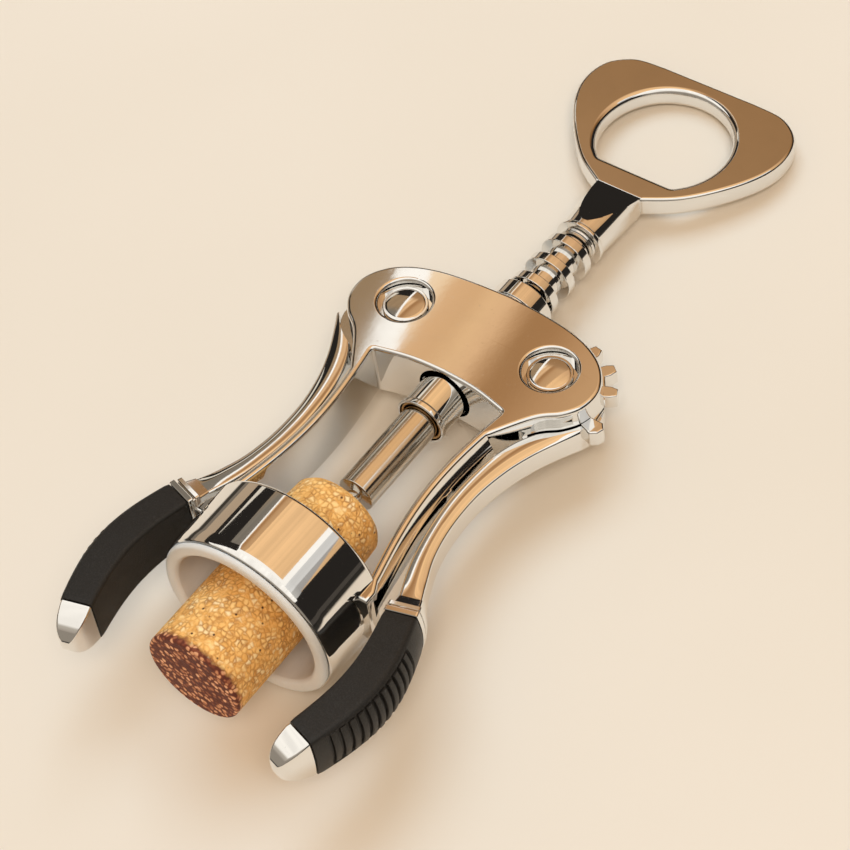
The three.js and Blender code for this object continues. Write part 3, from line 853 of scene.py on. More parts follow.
@dataclass(frozen=True)
class Finish:
    """What every finish shares: its name, its marks and waves, and how deep they are."""

    name: str
    marks: Marks = Marks(0.035, 0.035, 0.12, 48.0, 1500.0)
    waves: Waves = Waves(55.0, 900.0, 0.03)
    strength: float = 0.05
    relief: float = 0.6 * MM
    wave_share: float = 0.3

    def surface(self, hand: Nodes, shader: Node, mask: Socket, height: Socket) -> Look:
        """The finish's own colour and height."""
        raise NotImplementedError

    def placed(self, hand: Nodes, group: Tree, settings: object) -> dict[str, Socket]:
        """Places a shared group with this finish's own values.

        Args:
            hand: The hand on the material's tree.
            group: The shared group.
            settings: The values of its inputs.

        Returns:
            The group's outputs by name.
        """
        node = hand.add("ShaderNodeGroup", node_tree=group)
        for socket, value in zip(node.inputs, astuple(settings)):
            socket.default_value = value
        return dict(node.outputs.items())

    def make(self, marking: Tree, waving: Tree) -> Material:
        """Builds the material.

        Args:
            marking: The shared group of smears and dust.
            waving: The shared group of waves.

        Returns:
            The material.
        """
        material, hand, shader = fresh(self.name)
        marks = self.placed(hand, marking, self.marks)
        waves = self.placed(hand, waving, self.waves)
        colour, height = self.surface(hand, shader, marks["Mask"], waves["Height"])
        bump = hand.add("ShaderNodeBump", {"Strength": self.strength, "Distance": self.relief,
                                           "Height": height})
        for label, value in (("Base Color", colour), ("Roughness", marks["Roughness"]),
                             ("Normal", bump.outputs["Normal"])):
            hand.link(value, shader.inputs[label])
        return material


@dataclass(frozen=True)
class Plated(Finish):
    """Bright plated or bare metal with handling marks and slow waves."""

    colour: Tone = (0.86, 0.85, 0.83)
    worn: float = 0.93

    def surface(self, hand: Nodes, shader: Node, mask: Socket, height: Socket) -> Look:
        """A metal that is a little darker where it was handled.

        Args:
            hand: The hand on the material's tree.
            shader: Its shader.
            mask: Where it was handled.
            height: The height of its waves.

        Returns:
            Its colour and its height.
        """
        shader.inputs["Metallic"].default_value = 1.0
        return hand.mix(mask, self.colour, tuple(c * self.worn for c in self.colour)), height


@dataclass(frozen=True)
class Drawn(Finish):
    """Drawn steel with fine lines along the spindle."""

    marks: Marks = Marks(0.12, 0.1, 0.15, 120.0, 1300.0)
    waves: Waves = Waves(200.0, 1200.0, 0.3)
    relief: float = 0.1 * MM
    colour: Tone = (0.74, 0.7, 0.64)
    dark: float = 0.86
    line_scale: float = 1500.0
    stretch: float = 0.03

    def surface(self, hand: Nodes, shader: Node, mask: Socket, height: Socket) -> Look:
        """A metal with long fine lines.

        Args:
            hand: The hand on the material's tree.
            shader: Its shader.
            mask: Not used.
            height: The height of its waves.

        Returns:
            Its colour and its height.
        """
        shader.inputs["Metallic"].default_value = 1.0
        along = hand.stretched(hand.place(), (1.0, self.stretch, 1.0))
        lines = hand.noise(along, self.line_scale, 2.0)
        darker = tuple(c * self.dark for c in self.colour)
        rise = hand.plus(lines, hand.times(height, self.wave_share))
        return hand.mix(lines, darker, self.colour), rise


@dataclass(frozen=True)
class PaleLiner(Finish):
    """Pale moulded plastic that lets a little light in."""

    marks: Marks = Marks(0.3, 0.12, 0.15, 70.0, 800.0)
    waves: Waves = Waves(120.0, 2600.0, 0.5)
    strength: float = 0.12
    relief: float = 0.3 * MM
    colour: Tone = (0.73, 0.72, 0.7)
    shade: Tone = (0.66, 0.65, 0.63)
    glow: float = 0.25
    glow_depth: float = 1.5 * MM
    glow_tone: Tone = (1.0, 0.9, 0.8)

    def surface(self, hand: Nodes, shader: Node, mask: Socket, height: Socket) -> Look:
        """A plastic that light enters.

        Args:
            hand: The hand on the material's tree.
            shader: Its shader.
            mask: Where it was handled.
            height: The height of its waves.

        Returns:
            Its colour and its height.
        """
        for label, value in (("Weight", self.glow), ("Radius", self.glow_tone),
                             ("Scale", self.glow_depth)):
            shader.inputs[f"Subsurface {label}"].default_value = value
        return hand.mix(mask, self.colour, self.shade), height


@dataclass(frozen=True)
class BlackGrip(Finish):
    """Matte black moulding with a fine spark-eroded texture."""

    marks: Marks = Marks(0.46, 0.1, 0.2, 80.0, 2200.0)
    waves: Waves = Waves(300.0, 2600.0, 1.5)
    strength: float = 0.35
    relief: float = 0.2 * MM
    gloss: float = 0.45
    grain_scale: float = 3600.0
    grain_roughness: float = 0.7
    tones: Stops = ((0.45, (0.008, 0.0072, 0.0065)), (0.75, (0.025, 0.022, 0.019)))

    def surface(self, hand: Nodes, shader: Node, mask: Socket, height: Socket) -> Look:
        """A black grain.

        Args:
            hand: The hand on the material's tree.
            shader: Its shader.
            mask: Not used.
            height: The height of its waves.

        Returns:
            Its colour and its height.
        """
        shader.inputs["Specular IOR Level"].default_value = self.gloss
        grain = hand.noise(hand.place(), self.grain_scale, 3.0, self.grain_roughness)
        rise = hand.plus(grain, hand.times(height, self.wave_share))
        return hand.ramp(grain, self.tones), rise


@dataclass(frozen=True)
class PressedCork(Finish):
    """Pressed cork granules, with wine taken up at the lower end."""

    marks: Marks = Marks(0.72, 0.1, 0.1, 200.0, 900.0)
    waves: Waves = Waves(500.0, 2400.0, 0.6)
    strength: float = 0.5
    relief: float = 0.3 * MM
    wave_share: float = 0.4
    tint_share: float = 0.35
    keep_share: float = 0.7
    stain_start: float = 0.0
    stain_depth: float = 1.6 * MM
    stain_reach: Pair = (0.5, -0.2)
    stain_spread: float = 2.2 * MM
    granule_scale: float = 1020.0
    granule_spread: float = 0.9
    granules: Stops = ((0.0, (0.86, 0.45, 0.12)), (0.3, (0.98, 0.56, 0.18)),
                       (0.7, (1.0, 0.64, 0.24)), (1.0, (1.0, 0.78, 0.44)))
    # Crevice tones: dark joints between granules, partly painted shade in the hollows.
    crevices: Stops = ((0.42, (0.78, 0.37, 0.085)), (0.66, (0.4, 0.155, 0.032)))
    wine: Stops = ((0.0, (0.12, 0.026, 0.014)), (0.25, (0.25, 0.066, 0.03)),
                   (0.5, (0.42, 0.15, 0.065)), (0.75, (0.72, 0.35, 0.18)), (1.0, (0.9, 0.52, 0.3)))
    # This range darkens each granule towards its edge: partly a dark joint, partly painted shade of
    # a rounded granule.
    seam: Pair = (-0.08, 0.35)
    patches: Pair = (0.22, 0.52)
    patch_scale: float = 420.0
    patch_roughness: float = 0.65
    wobble: float = 0.0011
    wobble_scale: float = 500.0
    speck: Tone = (0.07, 0.022, 0.01)
    speck_scale: float = 430.0
    speck_edge: Pair = (0.06, 0.13)
    spot: Pair = (0.66, 0.3)

    def surface(self, hand: Nodes, shader: Node, mask: Socket, height: Socket) -> Look:
        """Granules with soft dark seams between them (dark joints plus painted shade towards each
        granule's edge), a few specks and the stain.

        Args:
            hand: The hand on the material's tree.
            shader: Not used.
            mask: Not used.
            height: The height of its waves.

        Returns:
            Its colour and its height.
        """
        where = hand.place()
        wobble = hand.add("ShaderNodeTexNoise", {"Vector": where, "Scale": self.wobble_scale,
                                                 "Detail": 2.0}).outputs["Color"]
        bent = hand.add("ShaderNodeMix", {"Factor": self.wobble, 4: where, 5: wobble},
                        data_type="VECTOR").outputs[1]
        cell = {"Vector": bent, "Scale": self.granule_scale, "Randomness": self.granule_spread}
        cells = hand.add("ShaderNodeTexVoronoi", cell).outputs
        gaps = hand.add("ShaderNodeTexVoronoi", cell, feature="DISTANCE_TO_EDGE").outputs
        tints = hand.add("ShaderNodeSeparateColor", {"Color": cells["Color"]}).outputs
        patchy = hand.noise(where, self.patch_scale, 3.0, self.patch_roughness)
        shut = hand.math("SUBTRACT", 1.0, hand.ranged(patchy, *self.patches, True))
        # keep is 1 inside a granule and falls towards its edge, where the crevice tones paint joint
        # and shade.
        keep = hand.math("MAXIMUM", hand.ranged(gaps["Distance"], *self.seam, True), shut)
        body = hand.mix(keep, hand.ramp(patchy, self.crevices),
                        hand.ramp(tints["Red"], self.granules))
        specks = hand.add("ShaderNodeTexVoronoi", {"Vector": where, "Scale": self.speck_scale})
        away = hand.ranged(specks.outputs["Distance"], *self.speck_edge)
        dotted = hand.mix(away, self.speck, body)
        spot = hand.times(hand.ranged(cells["Distance"], *self.spot, True), tints["Green"])
        rise = hand.plus(hand.times(tints["Blue"], self.tint_share),
                         hand.times(height, self.wave_share))
        return (self.stained(hand, where, spot, patchy, dotted),
                hand.plus(hand.times(keep, self.keep_share), rise))

    def stained(self, hand: Nodes, where: Socket, spot: Socket, patchy: Socket,
                clean: Socket) -> Socket:
        """Darkens the lower end with wine, which the granules take up unevenly.

        Args:
            hand: The hand on the material's tree.
            where: Object coordinates.
            spot: How light each granule stays, fading at its edges.
            patchy: A noise value.
            clean: The colour of clean cork.

        Returns:
            The colour with its stain.
        """
        edge = hand.plus(hand.split(where)["Y"], hand.times(patchy, -self.stain_spread))
        start, end = (self.stain_start + self.stain_depth * share for share in self.stain_reach)
        depth = hand.ranged(edge, start, end)
        return hand.mix(depth, clean, hand.ramp(spot, self.wine))


@dataclass
class Paintbox:
    """All the finishes, built once."""

    made: dict[Slot, Material] = field(default_factory=dict)

    def build(self) -> None:
        """Makes every finish from the shared groups."""
        groups = (effect_group("handling", Marks, ("Roughness", "Mask"), handling),
                  effect_group("ripple", Waves, ("Height",), ripple))
        finishes = {
            Slot.CHROME: Plated("bright plate"),
            Slot.STEEL: Drawn("drawn steel"),
            Slot.BRONZE: Plated("dull bronze", Marks(0.28, 0.035, 0.12, 48.0, 1500.0),
                                colour=(0.5, 0.28, 0.1)),
            Slot.LINER: PaleLiner("pale liner"),
            Slot.GRIP: BlackGrip("black grip"),
            Slot.CORK: PressedCork("pressed cork", stain_start=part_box("cork")[0][1]),
        }
        for slot, finish in finishes.items():
            self.made[slot] = finish.make(*groups)
            LOG.info("finish %s", finish.name)

    def dress(self, piece: Object, slot: Slot) -> None:
        """Gives a piece one finish all over."""
        piece.data.materials.clear()
        piece.data.materials.append(self.made[slot])


# The corkscrew


@dataclass
class SubAssembly:
    """What every sub-assembly shares: its paintbox, its pieces and where the right pin stands."""

    paint: Paintbox
    pieces: list[Object] = field(default_factory=list)
    pin_x: float = 17.0
    pin_y: float = 73.4

    def pin(self, side: Side) -> Pair:
        """The middle of a side's pin."""
        return side.value * self.pin_x, self.pin_y

    def settle(self, piece: Object, body: Body, slot: Slot, node: Optional[str] = None) -> None:
        """Dresses a finished piece, puts it on its body and hides the node that it stands for.

        Args:
            piece: The finished piece.
            body: The body that it rides on.
            slot: Its finish.
            node: The CAD node that it replaces.
        """
        self.paint.dress(piece, slot)
        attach(piece, body.value)
        if node:
            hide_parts(node)
        self.pieces.append(piece)
        LOG.info("piece %s on %s", piece.name, body.value)


@dataclass
class Casting(SubAssembly):
    """The frame: head, legs and bell, with the bell's liner and the top guide."""

    half_head: float = 6.4
    head_top: float = 85.0
    head_edge: float = 0.8
    shoulder: float = 10.9
    shoulder_line: Sequence[Pair] = (
        (0, 1), (0.29, 0.98), (0.55, 0.94), (0.755, 0.863), (0.905, 0.742), (0.997, 0.565),
        (0.99, 0.367), (0.9, 0.21), (0.755, 0.07))
    window_corner: float = 60.2
    window_rise: float = 2.1
    window_round: float = 0.7
    sill_bend: Pair = (0.5, 0.78)
    bell_radius: float = 19.0
    bell_wall: float = 1.7
    bell_top: float = 17.0
    bell_mouth: float = 1.2
    mouth_taper: float = 0.3
    mouth_turn: Pair = (2.6, 0.2)
    mouth_land: float = 0.2
    bell_rim: Sequence[Pair] = ((0.0, 0.8), (0.12, 0.35), (0.35, 0.1), (0.8, 0.0))
    brim: float = 1.6
    brim_radius: float = 12.4
    leg_foot: float = 16.8
    leg_corner: float = 15.1
    leg_waist: float = 2.75
    leg_width: float = 1.8
    leg_end: float = 0.86
    heel: Sequence[Pair] = ((0.8, -2.6), (0.8, -5.2), (-2.2, -5.2))
    web_start: float = -0.08
    web_section: Sequence[Pair] = ((0.6, 5.7), (1.75, 6.0), (1.95, 5.6), (2.55, 3.7), (2.75, 3.2),
                                   (3.0, 2.8))
    slot_half: float = 2.1
    slot_radius: float = 13.05
    rack_bore: float = 5.85
    guide_bore: float = 6.2
    bore_below: float = 4.0
    guide_depth: float = 3.9
    above: float = 95.0
    well_radius: float = 5.35
    well_depth: float = 2.2
    well_rim: float = 0.7
    pin_bore: float = 3.25
    clear: float = 3.0
    guide: Sequence[Pair] = ((5.6, -3.6), (5.95, -3.6), (5.95, 0.2), (6.3, 0.2), (6.3, 4.2),
                             (5.6, 4.2))
    guide_round: float = 0.25
    lip: Sequence[Pair] = ((18.3, 1.05), (18.3, 0.7), (18.0, 0.2), (17.5, 0.0), (16.6, 0.0),
                           (15.9, 0.2), (15.45, 0.8))
    liner: Sequence[Pair] = ((15.4, 2.0), (15.4, 13.6), (12.7, 13.6), (12.7, 15.1), (17.0, 15.1),
                             (17.0, 1.2))

    def leg_x(self, share: float) -> float:
        """The inner edge of the right leg at a share of the way from bell to head."""
        straight = self.leg_foot + (self.leg_corner - self.leg_foot) * share
        return straight - self.leg_waist * math.sin(math.pi * share)

    def leg_y(self, share: float) -> float:
        """The height of a share of the leg."""
        return self.bell_top + (self.window_corner - self.bell_top) * share

    def leg_line(self, offset: float, start: float, end: float, steps: int) -> list[Pair]:
        """The leg's inner edge moved outwards by an offset."""
        return [(self.leg_x(s) + offset, self.leg_y(s)) for s in evenly(start, end, steps)]

    def head_outline(self) -> list[Pair]:
        """Draws the head and both legs, with the window open between the legs.

        Returns:
            The outline.
        """
        half, rise = self.pin_x + self.shoulder, self.head_top - self.window_corner
        shoulder = [(x * half, self.window_corner + y * rise) for x, y in self.shoulder_line]
        outer = self.leg_line(self.leg_width, self.leg_end, 0.0, 28)
        heel = [(self.bell_radius + out, self.bell_top + up) for out, up in self.heel]
        inner = self.leg_line(0.0, 0.0, 1.0, 34)
        corner = inner[-1]
        across, up = self.sill_bend
        sill = spline([corner, (corner[0] * across, self.window_corner + self.window_rise * up),
                       (0.0, self.window_corner + self.window_rise)], 8)
        rounded = filleted([inner[-3], corner, sill[2]], self.window_round)[1:-1]
        right = [*spline([*shoulder, outer[0]], 7), *outer[1:], *heel, *inner[:-2], *rounded,
                 *sill[2:]]
        return [*right, *mirrored_line(right)[1:-1]]

    def well_cutter(self, side: Side) -> Object:
        """Makes the shape that the pin's stepped hole takes out, with its rounded rims.

        Args:
            side: The pin's side.

        Returns:
            The cutter.
        """
        ledge, rim = self.half_head - self.well_depth, self.well_rim
        flare = [(self.well_radius + rim * (1 - math.cos(a)),
                  self.half_head - rim + rim * math.sin(a)) for a in evenly(0.0, math.pi / 2, 7)]
        beyond = self.half_head + self.clear
        half = [(self.pin_bore, ledge), (self.well_radius, ledge), *flare,
                (self.well_radius + rim, beyond), (0.0, beyond)]
        return peg("well", self.pin(side), doubled([(r, -z) for r, z in reversed(half)]))

    def slot_cutter(self, side: Side) -> Object:
        """The disc that the lever's gear runs in."""
        return peg("slot", self.pin(side), rod(self.slot_radius, -self.slot_half, self.slot_half))

    def web_ring(self, share: float, side: Side) -> list[Vector]:
        """Draws a section of the leg's outer web: a sloping flank down to a narrow shelf.

        Args:
            share: The place on the leg.
            side: The leg's side.

        Returns:
            The section's points.
        """
        x, y = self.leg_x(share), self.leg_y(share)
        return [Vector((side.value * (x + dx), y, z)) for dx, z in doubled(self.web_section)]

    def leg_web(self, side: Side) -> Object:
        """The web that backs a leg."""
        shares = evenly(self.web_start, self.leg_end, 40)
        return loft("web", [self.web_ring(s, side) for s in shares])

    def bell(self) -> Object:
        """Turns the ring of the bell with its inward shoulder.

        Returns:
            The ring.
        """
        inner, brim = self.bell_radius - self.bell_wall, self.bell_top - self.brim
        mouth, (high, low) = self.bell_mouth, self.mouth_turn
        turn = [(self.bell_radius - self.mouth_taper * t ** 2, mouth + high - (high - low) * t)
                for t in evenly(0.0, 1.0, 8)]
        top = [(self.bell_radius - back, self.bell_top - down) for back, down in self.bell_rim]
        return lathe("bell", [
            *reversed(turn), *top, (self.brim_radius, self.bell_top), (self.brim_radius, brim),
            (inner, brim), (inner, mouth), (turn[-1][0] - self.mouth_land, mouth),
        ], BELL_SIDES)

    def build_head(self) -> Object:
        """Makes the head and the legs' flanges with their slots, wells and bore.

        Returns:
            The plate.
        """
        plate = rounded_plate("head", [self.head_outline()], self.half_head * 2, self.head_edge, 6)
        bore = lathe("bore", rod(self.rack_bore, self.window_corner - self.bore_below,
                                 self.above), BORE_SIDES)
        guide = lathe("guide", rod(self.guide_bore, self.head_top - self.guide_depth,
                                   self.above), BORE_SIDES)
        inner, brim = self.bell_radius - self.bell_wall, self.bell_top - self.brim
        low, high = -self.clear, self.bell_top + self.clear
        chamber = lathe("chamber", [(0.0, low), (inner, low), (inner, brim),
                                    (self.brim_radius, brim), (self.brim_radius, high),
                                    (0.0, high)])
        return cut(plate, [*map(self.slot_cutter, Side), *map(self.well_cutter, Side),
                           bore, guide, chamber])

    def build(self) -> None:
        """Builds and dresses the casting and what is fixed in it."""
        casting = joined("frame_casting",
                         [self.build_head(), *map(self.leg_web, Side), self.bell()])
        self.settle(shaded(casting), Body.FRAME, Slot.CHROME, "frame")
        self.build_liner()
        self.build_guide()

    def build_liner(self) -> None:
        """The pale liner with its fat rounded lip."""
        ring = lathe("liner_ring", [*spline(self.lip, 4), *self.liner], WIDE_SIDES)
        self.settle(shaded(ring), Body.FRAME, Slot.LINER, "bell_liner")

    def build_guide(self) -> None:
        """The flanged guide that the rack runs in, on top of the head."""
        ring = lathe("guide_ring", [(r, self.head_top + up) for r, up in self.guide],
                     round_off=self.guide_round)
        self.settle(shaded(ring), Body.FRAME, Slot.CHROME, "top_guide_bush")


@dataclass
class PivotPins(SubAssembly):
    """The levers' pins with their domed heads, and the caps that hold them at the back."""

    ledge: float = 4.45
    head_radius: float = 4.5
    head_height: float = 0.7
    dome_height: float = 0.24
    rim: Sequence[Pair] = ((0.0, -0.7), (0.0, -0.15), (0.12, 0.0), (0.5, 0.0), (0.62, 0.08))
    shaft_radius: float = 3.0
    end_radius: float = 2.3
    end_length: float = 0.7
    bore_radius: float = 2.55
    bore_depth: float = 0.95

    def head_line(self) -> list[Pair]:
        """Draws the rim and the dome of a head.

        Returns:
            (radius, height above the ledge) pairs, from the rim inwards.
        """
        rim = [(self.head_radius - back, self.head_height + up) for back, up in self.rim]
        reach, foot = rim[-1]
        dome = [(reach * (1 - t), foot + self.dome_height * (1 - (1 - t) ** 2))
                for t in evenly(0.0, 1.0, 12)[1:]]
        return [*rim, *dome]

    def build(self) -> None:
        """Builds both pins and both caps."""
        ledge, line = self.ledge, self.head_line()
        end, depth = -ledge - self.end_length, -ledge - self.bore_depth
        head = [(r, ledge + h) for r, h in reversed(line)]
        tail = [(self.shaft_radius, ledge), (self.shaft_radius, -ledge), (self.end_radius, -ledge),
                (self.end_radius, end), (0.0, end)]
        bore = [(0.0, depth), (self.bore_radius, depth), (self.bore_radius, -ledge)]
        back = [(r, -ledge - h) for r, h in line]
        for side in Side:
            for label, node, profile in (("pin", "pivot_pin", [*head, *tail]),
                                         ("cap", "pin_cap", [*bore, *back])):
                word = side.name.lower()
                made = peg(f"{label}_{word}", self.pin(side), profile)
                self.settle(shaded(made), Body.FRAME, Slot.CHROME, f"{node}_{word}")


@dataclass
class Rack(SubAssembly):
    """The ring rack that the levers drive, with its lower collar and bronze ring."""

    radius: float = 5.3
    root: float = 3.5
    bore: float = 2.3
    well: float = 4.8
    well_top: float = 60.7
    pitch: float = 5.8
    first: float = 68.8
    rings: int = 7
    land: float = 2.1
    base: float = 2.7
    sunk: float = 0.6
    collar_low: float = 54.0
    bead: float = 1.15
    waist_step: float = 0.3
    bead_slope: float = 0.25
    collar_slope: float = 0.35
    top: float = 106.35
    sleeve_round: float = 0.3
    ring_round: float = 0.22
    bronze_inset: float = 0.35
    bronze_inner: float = 4.15
    bronze_outer: float = 4.6
    bronze_height: float = 3.0
    bronze_round: float = 0.12

    def profile(self) -> list[Pair]:
        """Draws the sleeve under its rings, with its beaded lower end and its bore.

        Returns:
            (radius, height) pairs.
        """
        collar_top = self.first - self.pitch / 2
        bead, waist = self.collar_low + self.bead, self.radius - self.waist_step
        return [(self.radius, self.collar_low), (self.radius, bead),
                (waist, bead + self.bead_slope), (waist, collar_top - self.collar_slope),
                (self.root, collar_top), (self.root, self.top), (self.bore, self.top),
                (self.bore, self.well_top), (self.well, self.well_top),
                (self.well, self.collar_low)]

    def ring(self) -> Object:
        """Turns one ring of the rack.

        Returns:
            The ring, at the middle of the frame.
        """
        foot, base, land = self.root - self.sunk, self.base / 2, self.land / 2
        return lathe("ring", [(foot, -base), (self.root, -base), (self.radius, -land),
                              (self.radius, land), (self.root, base), (foot, base)],
                     round_off=self.ring_round)

    def build(self) -> None:
        """Builds the sleeve, its row of rings and the bronze ring."""
        sleeve = lathe("sleeve", self.profile(), round_off=self.sleeve_round)
        last = self.first + (self.rings - 1) * self.pitch
        rings = Row().make("rings", self.ring(), self.rings,
                           [place(0, self.first, 0), place(0, last, 0)],
                           self.paint.made[Slot.CHROME])
        rack = joined("ring_rack", [sleeve, rings])
        self.settle(shaded(rack), Body.RACK, Slot.CHROME, "rack_sleeve")
        low = self.collar_low + self.bronze_inset
        ring = lathe("bronze_ring", tube(self.bronze_inner, self.bronze_outer, low,
                                         low + self.bronze_height),
                     SMALL_SIDES, self.bronze_round)
        self.settle(shaded(ring), Body.RACK, Slot.BRONZE, "sleeve_bush")


@dataclass
class Spindle(SubAssembly):
    """The crown with its neck, the washer under it, the shank and the worm."""

    neck_low: float = 107.45
    neck_depth: float = 5.15
    neck_width: float = 4.95
    neck_flare: float = 0.45
    neck_turn: float = 2.0
    neck_sink: float = 1.6
    neck_plane: float = 2.6
    neck_round: float = 0.2
    squareness: Pair = (2.0, 0.5)
    neck_base: Sequence[Pair] = ((0.0, 0.0), (3.8, 0.0), (3.8, 0.45), (5.3, 0.55), (5.3, 1.3),
                                 (4.9, 1.8), (0.0, 1.8))
    crown_low: float = 122.45
    crown_length: float = 35.2
    crown_line: Sequence[Pair] = ((0.218, 0), (0.5, 0.125), (0.762, 0.322), (0.94, 0.52), (1, 0.7),
                                  (0.94, 0.87), (0.74, 0.978), (0.46, 1))
    half_width: float = 24.3
    thickness: float = 4.6
    plate_edge: float = 0.75
    hole_radius: float = 13.99
    hole_height: float = 17.21
    hole_corner: float = 2.4
    chord_height: float = 6.3
    hole_round: float = 1.4
    clear: float = 3.0
    shank_radius: float = 3.85
    shank_end: float = 33.6
    shank_top: float = 60.4
    core_radius: float = 2.0
    core_top: float = 116.0
    shank_round: float = 0.25
    washer: tuple[float, float, float, float] = (2.3, 3.9, 106.6, 107.2)
    washer_round: float = 0.08
    worm_top: float = 38.75
    worm_sizes: Sequence[tuple[str, float]] = (
        ("Wire Radius", 1.3), ("Coil Radius", 2.9), ("Pitch", 9.0), ("Length", 50.65),
        ("Point", 6.3))

    def outline(self) -> list[Pair]:
        """Draws the crown's outline.

        Returns:
            The outline.
        """
        right = spline([(x * self.half_width, self.crown_low + y * self.crown_length)
                        for x, y in self.crown_line], 9)
        return [*right, *mirrored_line(right)]

    def hole(self, grow: float) -> list[Pair]:
        """Draws the cap lifter's opening: a circle cut off by a straight lip.

        Args:
            grow: How far the line is moved outwards.

        Returns:
            The closed line.
        """
        middle = self.crown_low + self.hole_height
        radius = self.hole_radius + grow
        half = math.acos((self.hole_height - self.chord_height + grow) / radius)
        start, sweep = half - math.pi / 2, 2 * (math.pi - half)
        arc = [polar(radius, start + turn) for turn in evenly(0.0, sweep, 72)]
        line = [(x, middle + y) for x, y in arc]
        low = (0.0, line[0][1])
        corners = [filleted(corner, self.hole_corner, 6)[1:-1]
                   for corner in ([line[-4], line[-1], low], [low, line[0], line[3]])]
        return [*line[3:-3], *corners[0], *corners[1]]

    def hole_cutter(self) -> Object:
        """Makes the opening's shape with its rounded lip at front and back.

        Returns:
            The cutter.
        """
        half, lip = self.thickness / 2, self.hole_round
        levels = [(half - lip * (1 - math.sin(a)), lip * (1 - math.cos(a)))
                  for a in evenly(0.0, math.pi / 2, 7)]
        levels.append((half + self.clear, lip))
        both = [*[(-z, grow) for z, grow in reversed(levels)], *levels]
        return loft("opening", [[Vector((x, y, z)) for x, y in self.hole(grow)]
                                for z, grow in both])

    def neck_ring(self, y: float) -> list[Vector]:
        """Draws a section of the neck: round at its base, a little squarer at the crown.

        Args:
            y: The section's height.

        Returns:
            The section's points.
        """
        start = self.neck_low + self.neck_turn
        t = min(max((y - start) / (self.crown_low - start), 0.0), 1.0)
        round_power, squarer = self.squareness
        wide, power = self.neck_width + self.neck_flare * t, 2 / (round_power + squarer * t)
        ring = []
        for k in range(SIDES):
            c, s = polar(1.0, 2 * math.pi * k / SIDES)
            ring.append(Vector((wide * math.copysign(abs(c) ** power, c), y,
                                self.neck_depth * math.copysign(abs(s) ** power, s))))
        return ring

    def neck(self) -> Object:
        """Skins the neck and planes it down to the plate at front and back.

        Returns:
            The neck.
        """
        half = self.thickness / 2
        body = loft("neck", [self.neck_ring(y) for y in
                             evenly(self.neck_low + self.neck_sink,
                                    self.crown_low + self.neck_sink, 30)])
        run = self.crown_low - self.neck_low - self.neck_plane
        rise = self.neck_depth - half
        with Opened(body.data) as work:
            for sign in (1, -1):
                planed = bmesh.ops.bisect_plane(
                    work, geom=[*work.verts, *work.edges, *work.faces], clear_outer=True,
                    plane_co=place(0, self.crown_low, sign * half),
                    plane_no=Vector((0.0, rise, sign * run)).normalized())
                rim = [e for e in planed["geom_cut"] if isinstance(e, bmesh.types.BMEdge)]
                bmesh.ops.contextual_create(work, geom=rim)
            bmesh.ops.recalc_face_normals(work, faces=work.faces)
        return body

    def build(self) -> None:
        """Builds the whole spindle."""
        plate = rounded_plate("plate", [self.outline()], self.thickness, self.plate_edge, 5)
        plate = cut(plate, [self.hole_cutter()])
        base = lathe("base", [(r, self.neck_low + up) for r, up in self.neck_base],
                     round_off=self.neck_round)
        crown = joined("crown_handle", [plate, self.neck(), base])
        self.settle(shaded(crown), Body.SPINDLE, Slot.CHROME, "crown")
        self.build_shank()
        self.build_worm()

    def build_shank(self) -> None:
        """The steel rod under the rack and the washer above it."""
        steel = lathe("steel_rod", [
            (0.0, self.shank_end), (self.shank_radius, self.shank_end),
            (self.shank_radius, self.shank_top), (self.core_radius, self.shank_top),
            (self.core_radius, self.core_top), (0.0, self.core_top),
        ], round_off=self.shank_round)
        self.settle(shaded(steel), Body.SPINDLE, Slot.STEEL, "shank")
        washer = lathe("washer", tube(*self.washer), SMALL_SIDES, self.washer_round)
        self.settle(shaded(washer), Body.SPINDLE, Slot.STEEL, "thrust_washer")

    def build_worm(self) -> None:
        """The worm, wound by its own node tree."""
        top = place(0, self.worm_top, 0)
        worm = Coil().grow("coiled_wire", {
            **{label: size * MM for label, size in self.worm_sizes},
            "Top": top.y, "Axis Height": top.z, "Finish": self.paint.made[Slot.STEEL]})
        self.settle(shaded(worm, 60.0), Body.SPINDLE, Slot.STEEL, "worm")


@dataclass
class Cork(SubAssembly):
    """The pressed cork on the worm."""

    low: float = -14.5
    high: float = 29.3
    radius: float = 10.05
    top_radius: float = 9.35
    bore: float = 4.5
    bore_start: float = 2.0
    edge: float = 0.55
    lower: Sequence[Pair] = ((0.0, 0.0), (0.0, 12.0), (-0.03, 22.0))
    upper: Sequence[Pair] = ((0.25, -5.0), (0.0, -1.4), (-0.9, -0.2))

    def build(self) -> None:
        """Builds the cork with its slightly uneven skin."""
        skin = [(self.radius + out, self.low + up) for out, up in self.lower]
        skin += [(self.top_radius + out, self.high + up) for out, up in self.upper]
        start = self.low + self.bore_start
        cork = lathe("pressed_cork", [(0.0, self.low), *skin, (self.bore, self.high),
                                      (self.bore, start), (0.0, start)],
                     WIDE_SIDES, self.edge)
        self.settle(shaded(cork, 50.0), Body.CORK, Slot.CORK, "cork")


